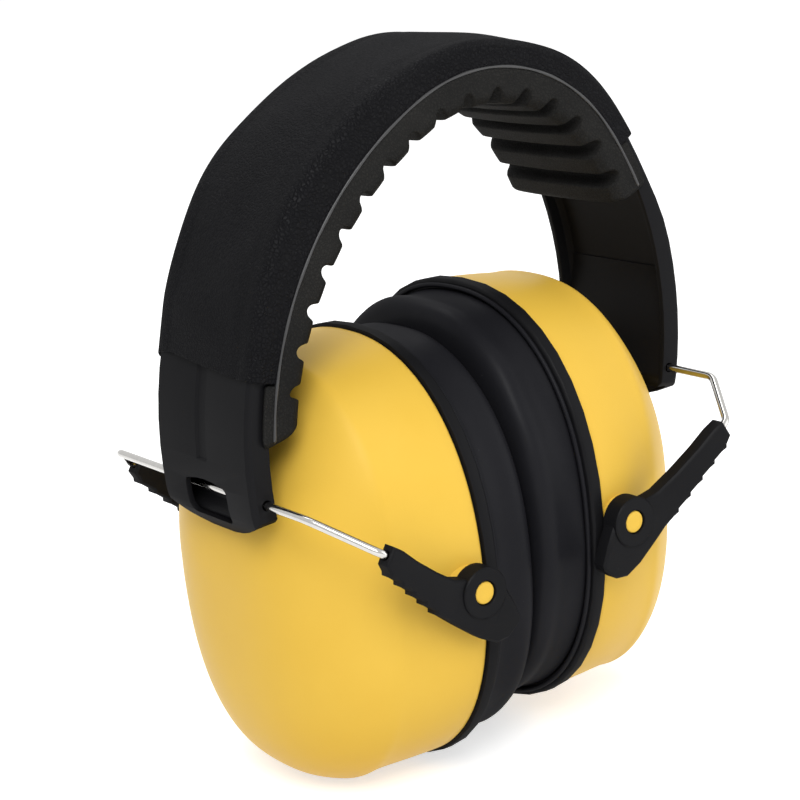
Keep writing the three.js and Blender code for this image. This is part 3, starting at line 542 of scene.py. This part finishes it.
def groove_depth(along):
    """How deep the pad is cut at a length: depth * sqrt(1 - (offset / half)^2) at every rib pitch,
    where half is 0.6 of the width, and the crests fall towards it by bulge (1 - |2 offset / pitch|)^2."""
    offset = np.mod(along - FIRST_GROOVE + RIB_PITCH / 2, RIB_PITCH) - RIB_PITCH / 2
    hollow = np.sqrt(np.clip(1 - (offset / (0.6 * GROOVE_WIDTH)) ** 2, 0, 1))
    inside = (along > FIRST_GROOVE - RIB_PITCH / 2) & (along < LAST_GROOVE + RIB_PITCH / 2)
    bulge = RIB_BULGE * (1 - np.abs(2 * offset / RIB_PITCH)) ** 2
    return (GROOVE_DEPTH * hollow + bulge) * inside


def pad_sections(along):
    """Outlines of the pad: a deck between two lips on the tongues or two steps under the cover,
    the sides, and crests that the grooves cut, crowned a little across."""
    share = (along - PAD_START) / (PAD_END - PAD_START)
    crest = 8 + 1.4 * np.sin(np.pi * share)
    groove = groove_depth(along)
    covered = smoothstep(along - COVER_NEAR_CUT, -0.5, -0.2) * smoothstep(COVER_LENGTH - along, -0.3, 0)
    lip_inner, lip_rise, shelf, deck, shoulder = 18.9, 1.5, 18.7, -0.6, -1.2
    chamfer = 2.2 - 1.5 * groove / GROOVE_DEPTH
    low = -crest + groove

    def between(lip, step):
        return lip + (step - lip) * covered

    spots = [
        (between(lip_inner, shelf - 0.4), deck + 0 * along),
        (between(lip_inner, shelf), between(lip_rise, deck)),
        (between(COVER_HALF - 0.3, shelf), between(lip_rise, shoulder)),
        (COVER_HALF + 0 * along, shoulder + 0 * along),
        (COVER_HALF + 0 * along, chamfer + low),
        (COVER_HALF - chamfer, low),
        (0.5 * COVER_HALF + 0 * along, low - 0.35),
        (0 * along, low - 0.5),
    ]
    half = np.stack([np.stack(np.broadcast_arrays(*spot), axis=-1) for spot in spots], axis=1)
    return np.concatenate([half, half[:, ::-1] * [-1, 1]], axis=1)


def headband_pad():
    """The foam pad along the arch, with softened corners and rounded ends, the left one leaning.

    At the ends the section draws in by r(1 - cos t) while it runs on by r sin t, and closes on its
    middle. The lean starts a little before the cover's left end, and grows with the depth.
    """
    radius, middle, lean_start, lean_depth = 2.2, -3.4, -2.5, 8
    along = np.linspace(PAD_START, PAD_END, 560)
    outlines = pad_sections(along)
    sections = np.stack([rounded(outline, 6, 2) for outline in outlines])
    sections = softened(sections, 1)
    across, out = sections[..., 0], sections[..., 1]
    into_end = np.clip(radius - np.minimum(along - PAD_START, PAD_END - along), 0, radius)[:, None]
    inset = radius - np.sqrt(np.maximum(radius**2 - into_end**2, 0))
    across = np.sign(across) * np.maximum(np.abs(across) - inset, 0)
    out = middle + np.sign(out - middle) * np.maximum(np.abs(out - middle) - inset, 0)
    lean = PAD_END_LEAN * smoothstep(-along, lean_start, -PAD_START)
    body = on_arch(along[:, None] + lean[:, None] * np.clip(-out / lean_depth, 0, 1), across, out)
    ends = [
        on_arch(np.full_like(across[:1], PAD_START), 0.0, middle),
        on_arch(np.full_like(across[:1], PAD_END), 0.0, middle),
    ]
    points = np.concatenate([ends[0], body, ends[1]])
    piece = grid_piece("headband_foam", points, "headband", PAD_SKIN)
    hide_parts("headband_pad")


# Cups, each laid out from its rim at the level of its trunnions, with depth pointing away from the head

# RIMS: the rim's x, the trunnions' z, and the way from the head, of each cup

RIMS = {"left": (-17.388, 50.2, -1), "right": (16.312, 54.605, 1)}
CUP_HALF_WIDTH, CUP_HALF_HEIGHT, CUP_DEPTH, CUP_WALL = 43.4, 49.4, 38.6, 2.6
CREASE_DEPTH, CREASE_RIDGE, RIM_EXPONENT, DOME_EXPONENT = 20.0, 0.025, 2.25, 2.4
TRUNNION_OUTSET = 4.3


def placed(side, depth, across, up):
    """Points of a cup in the object's frame: depth along the side's X, turned half round on the left."""
    rim_x, rim_z, sign = RIMS[side]
    return np.stack(np.broadcast_arrays(rim_x + sign * depth, sign * across, rim_z + up), axis=-1)


def oval(half_width, up, down, exponent, count):
    """Superellipse: across = w * cos^(2/n), height = h * sin^(2/n), with its own h above and below."""
    turn = full_turn(count)[None, :]
    cosine, sine = np.cos(turn), np.sin(turn)
    across = half_width * np.sign(cosine) * np.abs(cosine) ** (2 / exponent)
    height = np.sign(sine) * np.abs(sine) ** (2 / exponent)
    return across, height * np.where(sine > 0, up, down)


def shell_rings(depth, inset, count):
    """Ovals of the shell at a column of depths: the wall leans in to the crease, and the dome closes
    as (1 - t^start)^(1/close), each with its own powers across, up and down."""
    wall = np.minimum(1, depth / CREASE_DEPTH)
    dome = np.clip((depth - CREASE_DEPTH) / (CUP_DEPTH - inset - CREASE_DEPTH), 0, 1)

    def drawn(rim, crease, start, close):
        at_wall = rim + (crease - rim) * wall**1.7
        return at_wall * (1 - dome**start) ** (1 / close) * (1 - inset / rim)

    exponent = RIM_EXPONENT + (DOME_EXPONENT - RIM_EXPONENT) * wall
    return oval(
        drawn(CUP_HALF_WIDTH, 38, 1.3, 3),
        drawn(CUP_HALF_HEIGHT, 46.5, 1.2, 1.95),
        drawn(CUP_HALF_HEIGHT, 48.7, 2.1, 3.5),
        exponent,
        count,
    )


def cup_shell(side):
    """The shell: out along its inner wall from the pole to the rim, and back over its outside.

    Depths crowd towards the pole as 1 - (1 - s)^3. The crease is a soft ridge that dies away as
    exp(-distance / 3), softened along the rings.
    """
    count = 144
    toward_pole = 1 - (1 - np.linspace(0, 1, 46)) ** 3
    outer_wall, inner_wall = np.linspace(0.5, CREASE_DEPTH, 34), np.linspace(0.4, CREASE_DEPTH, 20)
    outer_reach, inner_reach = CUP_DEPTH - CREASE_DEPTH, CUP_DEPTH - CUP_WALL - CREASE_DEPTH
    outer_depth = np.r_[outer_wall[:-1], CREASE_DEPTH + outer_reach * toward_pole]
    inner_depth = np.r_[inner_wall[:-1], CREASE_DEPTH + inner_reach * toward_pole[::3]]
    across, up = shell_rings(outer_depth[:, None], 0, count)
    ridge = 1 + CREASE_RIDGE * np.exp(-np.abs(outer_depth[:, None] - CREASE_DEPTH) / 3)
    outer = softened(placed(side, outer_depth[:, None], across * ridge, up * ridge), 3)
    inner = placed(side, inner_depth[:, None], *shell_rings(inner_depth[:, None], CUP_WALL, count))
    lip = [
        placed(side, 0.12, *oval(*shrunk(0.12), RIM_EXPONENT, count)),
        placed(side, 0.0, *oval(*shrunk(0.5), RIM_EXPONENT, count)),
        placed(side, 0.0, *oval(*shrunk(CUP_WALL - 0.4), RIM_EXPONENT, count)),
    ]
    points = np.concatenate([inner[::-1], *reversed(lip), outer])
    shell = grid_piece("cup_dome_" + side, points, "cup_" + side, SHELL)
    for name, sign in (("front", -1), ("rear", 1)):
        boss_with_pin(f"{name}_pin_{side}", side, sign)
    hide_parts("cup_shell_" + side)


def shrunk(inset):
    """The rim's half width and its two half heights, drawn in by an inset."""
    return CUP_HALF_WIDTH - inset, CUP_HALF_HEIGHT - inset, CUP_HALF_HEIGHT - inset


def boss_with_pin(name, side, sign):
    """A flared boss cut off in line with the rim, and the pin on it: rings of a profile of radius and
    reach, whose points are held behind the cut. The pin's end is slightly dished."""
    boss, reach, pin, pin_end = 4.7, 44.4, 2.5, 48.9
    profile = np.array(
        [
            (0, 40.5), (boss + 1.2, 40.5), (boss + 0.4, 42.0), (boss, 43.2), (boss - 0.1, reach - 0.2),
            (boss - 0.4, reach), (2.9, reach), (pin, reach + 0.3), (pin, pin_end - 0.3),
            (2.4, pin_end - 0.08), (2.2, pin_end), (1.3, pin_end - 0.1), (0, pin_end - 0.15),
        ]
    )
    turn = full_turn(64)[None, :]
    radius, out = profile[:, :1], profile[:, 1:]
    depth = TRUNNION_OUTSET + radius * np.cos(turn)
    depth = np.where(radius > 2.6, np.maximum(depth, 0.05), depth)
    world_sign = RIMS[side][2] * sign
    points = placed(side, depth, world_sign * out, radius * np.sin(turn))
    piece = grid_piece("boss_" + name, points, "cup_" + side, SHELL)
    bevelled(piece, 0.12)


# Cushions and foams

CUSHION_BACK, CUSHION_HEIGHT, CUSHION_WIDTH, CUSHION_SET_IN = -3.7, 12.5, 21.4, 1.6
CUSHION_ROUND, CUSHION_INNER_ROUND, CUSHION_WAIST, CUSHION_CROWN, CUSHION_SKIN = 3.6, 4.6, 0.9, 0.5, 1.2


def cushion_line(inset):
    """The cushion's section as (inset from the rim, depth): foot, round outer shoulder, crown, round
    inner shoulder and inner foot, resampled to equal steps and softened."""
    outer, inner = inset + CUSHION_SET_IN, CUSHION_WIDTH - inset
    front = CUSHION_BACK - CUSHION_HEIGHT + inset
    quarter = np.linspace(0, np.pi / 2, 12)[:, None]
    big, small = CUSHION_ROUND - inset, CUSHION_INNER_ROUND - inset
    next_quarter = quarter + np.pi / 2
    shoulder = np.hstack([outer + big - big * np.cos(quarter), front + big - big * np.sin(quarter)])
    inside = np.hstack(
        [inner - small - small * np.cos(next_quarter), front + small - small * np.sin(next_quarter)]
    )
    line = np.vstack(
        [
            [outer, CUSHION_BACK],
            [outer + CUSHION_WAIST, CUSHION_BACK - 2.5],
            [outer + CUSHION_WAIST, CUSHION_BACK - 5.5],
            shoulder,
            [(outer + inner) / 2, front - CUSHION_CROWN],
            inside,
            [inner, CUSHION_BACK],
        ]
    )
    return softened(resampled(line, 54), 5)


def rim_ring(side, line, count, wave=0.0):
    """A closed ring that follows the rim's oval, from a section of (inset, depth) points. Slow waves
    round the ring lift and sink its soft side a little."""
    inset, depth = line[:, :1], line[:, 1:]
    across, up = oval(*shrunk(inset), RIM_EXPONENT, count)
    turn = full_turn(count)[None, :]
    soft = smoothstep(-depth, 5, 9) * (1 - smoothstep(-depth, 13.5, 15.8))
    swell = wave * soft * (np.sin(3 * turn + 0.7) + 0.6 * np.sin(7 * turn + 2.1) + 0.4 * np.sin(13 * turn))
    shrink = 1 - swell / CUP_HALF_WIDTH
    return placed(side, depth, across * shrink, up * shrink)


def pressed_flat(piece):
    """Gives the piece its own copy of its mesh."""
    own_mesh(piece)


def ear_cushion(side):
    """The cushion's skin: its outside, and back along its inside one skin's thickness in."""
    line = np.vstack([cushion_line(0), cushion_line(CUSHION_SKIN)[::-1]])
    points = rim_ring(side, line, 168, wave=0.16)
    piece = grid_piece("cushion_skin_" + side, points, "cup_" + side, VINYL, loop_u=True)
    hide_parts("ear_cushion_" + side)
    pressed_flat(piece)


def cushion_bead(side):
    """The bead round the cushion's foot, pressed on the plate: a circle of section along the rim."""
    turn = full_turn(12)
    line = np.stack([0.75 + 0.55 * np.cos(turn), CUSHION_BACK - 0.25 + 0.55 * np.sin(turn)], axis=1)
    grid_piece(
        "cushion_bead_" + side, rim_ring(side, line, 168), "cup_" + side, VINYL, loop_u=True
    )


def cushion_foam(side):
    """The foam ring inside the skin."""
    points = rim_ring(side, cushion_line(CUSHION_SKIN + 0.35), 120)
    piece = grid_piece("foam_ring_" + side, points, "cup_" + side, FOAM, loop_u=True)
    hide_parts("cushion_foam_" + side)
    pressed_flat(piece)


def cup_liner(side):
    """A pillow of foam in the dome: its back follows the shell, its face bulges and dimples softly."""
    count, inset = 96, CUP_WALL + 0.35
    reach = CUP_DEPTH - inset
    toward_pole = 1 - (1 - np.linspace(0, 1, 20)) ** 3
    back_depth = CREASE_DEPTH + (reach - CREASE_DEPTH) * toward_pole
    back = placed(side, back_depth[:, None], *shell_rings(back_depth[:, None], inset, count))
    share = np.array([1.0, 0.985, 0.96, 0.92, 0.85, 0.75, 0.62, 0.48, 0.34, 0.2, 0.08, 0.0])[:, None]
    across, up = shell_rings(np.full((1, 1), CREASE_DEPTH), inset + 0.35, count)
    rounding = 4.2 * np.sqrt(np.clip(1 - ((1 - share) / 0.15 - 1) ** 2, 0, 1))
    edge = np.where(share > 0.85, rounding, 4.2)
    dimples = 0.35 * np.sin(across * share / 7.0) * np.cos(up * share / 8.0)
    depth = 17.2 - edge - 1.2 * (1 - share**2) + dimples * (1 - share**4)
    face = placed(side, depth, across * share, up * share)
    points = np.concatenate([face[::-1], back])
    piece = grid_piece("liner_pillow_" + side, points, "cup_" + side, FOAM)
    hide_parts("cup_liner_" + side)


# Sliders: the centre of each one's arc, as (x, z), and the wire's heading on it

SIDE_CENTRES = {"left": (25.275, 78.999), "right": (-25.28, 92.451)}
WIRE_HEADINGS = {"left": math.radians(-3.8), "right": math.radians(-10.1)}


def window_shade_sheet(side):
    """A thin dark sheet behind the slider's window, as painted shade: it stands in for the shade seen
    through the window. It lies between the feet, leaves the face above the window, runs level with the
    feet, and ends in line with the arched tip: lower end = -(4.4 + 4.2 (1 - (across / half width)^2))
    from the wire, and no lower than -6.6."""
    sign = RIMS[side][2]
    centre_x, centre_z = SIDE_CENTRES[side]
    half_width, thickness, top = 17.0, 0.35, 24.0
    inner_out, face_rise, foot_rise = 0.2, 3.3, 2.3
    across = half_width * np.sin(np.linspace(-np.pi / 2, np.pi / 2, 25))
    bottom = -np.minimum(4.4 + 4.2 * (1 - (across / half_width) ** 2), 6.6)
    share = np.r_[np.linspace(0, 0.5, 12), np.linspace(0.5, 1, 25)[1:]][:, None]
    along = top + (bottom - top) * share
    out = inner_out + face_rise * smoothstep(along, 6, top) + foot_rise * smoothstep(-along, 2.4, 5.4)
    sheet = [(np.broadcast_to(across, along.shape), along, out + k * thickness / 2) for k in (1, -1)]
    front, back = (np.stack(layer, axis=-1) for layer in sheet)
    grid = np.concatenate([front, back[:, ::-1]], axis=1)
    grid = np.concatenate([(grid[:1] + grid[:1, ::-1]) / 2, grid, (grid[-1:] + grid[-1:, ::-1]) / 2])
    heading = WIRE_HEADINGS[side] + grid[..., 1] / (SIDE_RADIUS + SLIDER_RISE)
    radius = SIDE_RADIUS + grid[..., 2]
    x = centre_x + sign * radius * np.cos(heading)
    z = centre_z + radius * np.sin(heading)
    points = np.stack([x, grid[..., 0] + BAND_SHIFT, z], axis=-1)
    # painted shade: a dark sheet that fills the window with black
    crisp(grid_piece("window_shade_sheet_" + side, points, "slider_" + side, PLASTIC))


# Yokes: the wire, the drums round the trunnions, and the arms' flat faces

YOKE_LENGTH, ARM_LENGTH, ARM_DROOP = 42.4, 30.0, math.radians(1.5)
WIRE_RADIUS, WIRE_HALF_SPAN, WIRE_BEND, WIRE_KINK, WIRE_KINK_HALF = 0.9, 38.4, 1.9, 0.9, 5.5
WIRE_BELOW_FACE, WIRE_END, WIRE_TURN = 3.4, 24.0, 31.6
ARM_INNER_FACE, ARM_FACE, ARM_MOUTH, ARM_KNEE = 44.7, 48.7, 51.0, 6.0


def in_yoke(side, u, n, w):
    """Points of a yoke in the object's frame: u from the trunnions' axis towards the wire's, n across
    from the middle plane, and w at right angles to both."""
    rim_x, rim_z, sign = RIMS[side]
    centre_x, centre_z = SIDE_CENTRES[side]
    heading, radius = WIRE_HEADINGS[side], SIDE_RADIUS + SLIDER_RISE - WIRE_BELOW_FACE
    wire = np.array([sign * centre_x + radius * math.cos(heading), centre_z + radius * math.sin(heading)])
    trunnion = np.array([sign * rim_x + TRUNNION_OUTSET, rim_z])
    forth = (wire - trunnion) / np.linalg.norm(wire - trunnion)
    x = trunnion[0] + u * forth[0] - w * forth[1]
    z = trunnion[1] + u * forth[1] + w * forth[0]
    return np.stack(np.broadcast_arrays(sign * x, sign * n, z), axis=-1)


def rounded_path(corners, reach, steps=9):
    """Straight runs between corners: each corner is a parabola from reach before it to reach after."""
    path = [corners[0]]
    for before, corner, after in zip(corners, corners[1:], corners[2:]):
        room = 0.4 * min(np.linalg.norm(corner - before), np.linalg.norm(after - corner))
        start = corner + (before - corner) / np.linalg.norm(before - corner) * min(reach, room)
        end = corner + (after - corner) / np.linalg.norm(after - corner) * min(reach, room)
        t = np.linspace(0, 1, steps)[:, None]
        path.extend((1 - t) ** 2 * start + 2 * t * (1 - t) * corner + t**2 * end)
    path.append(corners[-1])
    return np.array(path)


def yoke_wire(side):
    """The bent wire: a circle of section along its path, whose frame keeps square to the yoke.

    It runs along one arm, turns inward just past its mouth, goes across with a kink at the band's
    middle, and ends in the other arm the same way.
    """
    lean = (ARM_MOUTH - (ARM_INNER_FACE + ARM_FACE) / 2) / (ARM_LENGTH - ARM_KNEE)

    def on_arm(u, hand):
        reach = ARM_MOUTH + (u - ARM_LENGTH) * lean
        return u * math.cos(ARM_DROOP), hand * reach, -u * math.sin(ARM_DROOP)

    sign = RIMS[side][2]
    kink = sign * BAND_SHIFT
    corners = [
        on_arm(WIRE_END, -1),
        on_arm(WIRE_TURN, -1),
        (YOKE_LENGTH, -WIRE_HALF_SPAN, 0),
        (YOKE_LENGTH, kink - WIRE_KINK_HALF, 0),
        (YOKE_LENGTH + WIRE_KINK, kink, 0),
        (YOKE_LENGTH, kink + WIRE_KINK_HALF, 0),
        (YOKE_LENGTH, WIRE_HALF_SPAN, 0),
        on_arm(WIRE_TURN, 1),
        on_arm(WIRE_END, 1),
    ]
    path = rounded_path(np.array(corners, float), WIRE_BEND)
    tangent = np.gradient(path, axis=0)
    tangent /= np.linalg.norm(tangent, axis=1, keepdims=True)
    upright = np.array([0.0, 0.0, 1.0])
    beside = np.cross(tangent, upright)
    beside /= np.linalg.norm(beside, axis=1, keepdims=True)
    above = np.cross(beside, tangent)
    turn = full_turn(20)[None, :, None]
    ring = WIRE_RADIUS * (np.cos(turn) * beside[:, None] + np.sin(turn) * above[:, None])
    closing = 0 * ring[:1]
    tube = np.concatenate([path[:1, None] + closing, path[:, None] + ring, path[-1:, None] + closing])
    points = in_yoke(side, tube[..., 0], tube[..., 1], tube[..., 2])
    piece = grid_piece("wire_" + side, points, "yoke_" + side, WIRE)
    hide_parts("yoke_wire_" + side)


def arm_details(name, side, hand):
    """The drum round a trunnion, as a turned profile, and the flat that closes the arm's face."""
    bore, drum = 2.75, 5.6
    profile = np.array(
        [
            (bore, 49.2), (bore + 0.15, 49.32), (drum - 0.3, 49.32), (drum, 49.05),
            (drum, 44.95), (drum - 0.2, 44.75), (bore, 44.75),
        ]
    )
    turn = full_turn(72)[None, :]
    radius, reach = profile[:, :1], profile[:, 1:]
    points = in_yoke(side, radius * np.cos(turn), hand * reach, radius * np.sin(turn))
    crisp(grid_piece("drum_" + name, points, "yoke_" + side, PLASTIC, loop_u=True))
    along, up = np.array([(-9.03, -0.62), (-5.97, 0.66), (-5.97, -5.18)]).T
    u = along * math.cos(ARM_DROOP) + up * math.sin(ARM_DROOP)
    w = -along * math.sin(ARM_DROOP) + up * math.cos(ARM_DROOP)
    bottom, top = 47.95, ARM_FACE + 0.02
    rows = [
        in_yoke(side, u.mean() + share * (u - u.mean()), hand * level, w.mean() + share * (w - w.mean()))
        for share, level in [(0, bottom), (1, bottom), (1, top), (0, top)]
    ]
    crisp(grid_piece("arm_flat_" + name, np.stack(rows), "yoke_" + side, PLASTIC))


# Edges, and the pieces carried over from CAD


def smooth_and_crisp():
    """A node group for a modifier: welds loose triangles, and shades smooth but for sharp edges."""
    tree = bpy.data.node_groups.new("smooth and crisp", "GeometryNodeTree")
    tree.interface.new_socket("Geometry", in_out="INPUT", socket_type="NodeSocketGeometry")
    tree.interface.new_socket("Geometry", in_out="OUTPUT", socket_type="NodeSocketGeometry")
    start, end = tree.nodes.new("NodeGroupInput"), tree.nodes.new("NodeGroupOutput")
    weld = tree.nodes.new("GeometryNodeMergeByDistance")
    weld.inputs["Distance"].default_value = 2e-6
    smooth = tree.nodes.new("GeometryNodeSetShadeSmooth")
    crisp = tree.nodes.new("GeometryNodeSetShadeSmooth")
    crisp.domain = "EDGE"
    crisp.inputs["Shade Smooth"].default_value = False
    angle = tree.nodes.new("GeometryNodeInputMeshEdgeAngle")
    sharp = tree.nodes.new("ShaderNodeMath")
    sharp.operation = "GREATER_THAN"
    sharp.inputs[1].default_value = math.radians(28)
    link = tree.links.new
    link(start.outputs[0], weld.inputs[0])
    link(weld.outputs[0], smooth.inputs[0])
    link(smooth.outputs[0], crisp.inputs[0])
    link(angle.outputs["Unsigned Angle"], sharp.inputs[0])
    link(sharp.outputs[0], crisp.inputs["Selection"])
    link(crisp.outputs[0], end.inputs[0])
    return tree


CRISP = smooth_and_crisp()


def crisp(piece):
    """A piece of flat faces and turned ones shades smooth but for its sharp edges."""
    piece.modifiers.new("shading", "NODES").node_group = CRISP


def bevelled(piece, width):
    """Worn corners: a small bevel on every edge over 35 degrees."""
    bevel = piece.modifiers.new("worn corners", "BEVEL")
    bevel.width = width * MM
    bevel.segments = 2
    bevel.limit_method = "ANGLE"
    bevel.angle_limit = math.radians(35)
    bevel.use_clamp_overlap = True


def carried_over(name, finish, bevel):
    """A CAD node keeps its shape and gets its finish, welded, with its corners slightly rounded."""
    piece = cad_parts[name]
    piece.data.materials.clear()
    piece.data.materials.append(finish)
    weld = piece.modifiers.new("weld", "WELD")
    weld.merge_threshold = 2e-6
    if bevel:
        bevelled(piece, bevel)
    crisp(piece)


# The object

headband_cover()
seam_welts()
headband_pad()
carried_over("headband_spring", SPRING, 0)
for muff in ("left", "right"):
    cup_shell(muff)
    ear_cushion(muff)
    cushion_bead(muff)
    # a dark sheet behind each slider's window, as painted shade
    window_shade_sheet(muff)
    cushion_foam(muff)
    cup_liner(muff)
    carried_over("slider_" + muff, PLASTIC, 0.25)
    yoke_wire(muff)
    for hand, face in ((-1, "minus"), (1, "plus")):
        arm_details(muff + "_" + face, muff, hand)
    carried_over("front_arm_" + muff, PLASTIC, 0.2)
    carried_over("rear_arm_" + muff, PLASTIC, 0.2)
    carried_over("cushion_plate_" + muff, PLASTIC, 0.2)

# Studio


def seen_directly(tree):
    """1 for a ray from the camera or off a glossy surface, and 0 for the rest."""
    path = node(tree, "ShaderNodeLightPath")
    return maths(tree, "ADD", path.outputs["Is Camera Ray"], path.outputs["Is Glossy Ray"], clamp=True)


def floor():
    """A pale floor that shows white to the camera and to reflections, and keeps the soft shadow."""
    mesh = bpy.data.meshes.new("floor")
    mesh.from_pydata([(-6, -6, 0), (6, -6, 0), (6, 6, 0), (-6, 6, 0)], [], [(0, 1, 2, 3)])
    piece = bpy.data.objects.new("floor", mesh)
    bpy.context.scene.collection.objects.link(piece)
    piece.location.z = -0.0005
    made = bpy.data.materials.new("floor")
    made.use_nodes = True
    tree = made.node_tree
    shader = tree.nodes["Principled BSDF"]
    shader.inputs["Base Color"].default_value = (0.86, 0.86, 0.86, 1)
    shader.inputs["Roughness"].default_value = 0.9
    shader.inputs["Emission Color"].default_value = (1, 1, 1, 1)
    glow = maths(tree, "MULTIPLY", seen_directly(tree), 0.62)
    tree.links.new(glow, shader.inputs["Emission Strength"])
    mesh.materials.append(made)


def studio_light():
    """A white world, dimmer to the object than to the camera, and three soft lamps."""
    world = bpy.data.worlds.new("studio")
    bpy.context.scene.world = world
    world.use_nodes = True
    tree = world.node_tree
    strength = node(tree, "ShaderNodeMapRange", {"Value": seen_directly(tree), "To Min": 0.4, "To Max": 1.0})
    tree.links.new(strength.outputs[0], tree.nodes["Background"].inputs["Strength"])
    tree.nodes["Background"].inputs["Color"].default_value = (1, 1, 1, 1)
    lamps = [
        ("key", (-0.4, -0.6, 0.72), 0.5, 6.0),
        ("fill", (0.6, -0.65, 0.35), 0.7, 1.9),
        ("back", (0.1, 0.35, 0.9), 0.5, 3.4),
    ]
    for name, place, size, power in lamps:
        lamp = bpy.data.lights.new(name, "AREA")
        lamp.size = size
        lamp.energy = power
        holder = bpy.data.objects.new(name, lamp)
        holder.location = place
        aim = Vector((0, 0, 0.08)) - Vector(place)
        holder.rotation_euler = aim.to_track_quat("-Z", "Y").to_euler()
        bpy.context.scene.collection.objects.link(holder)


floor()
studio_light()
bpy.context.scene.view_settings.view_transform = "Standard"
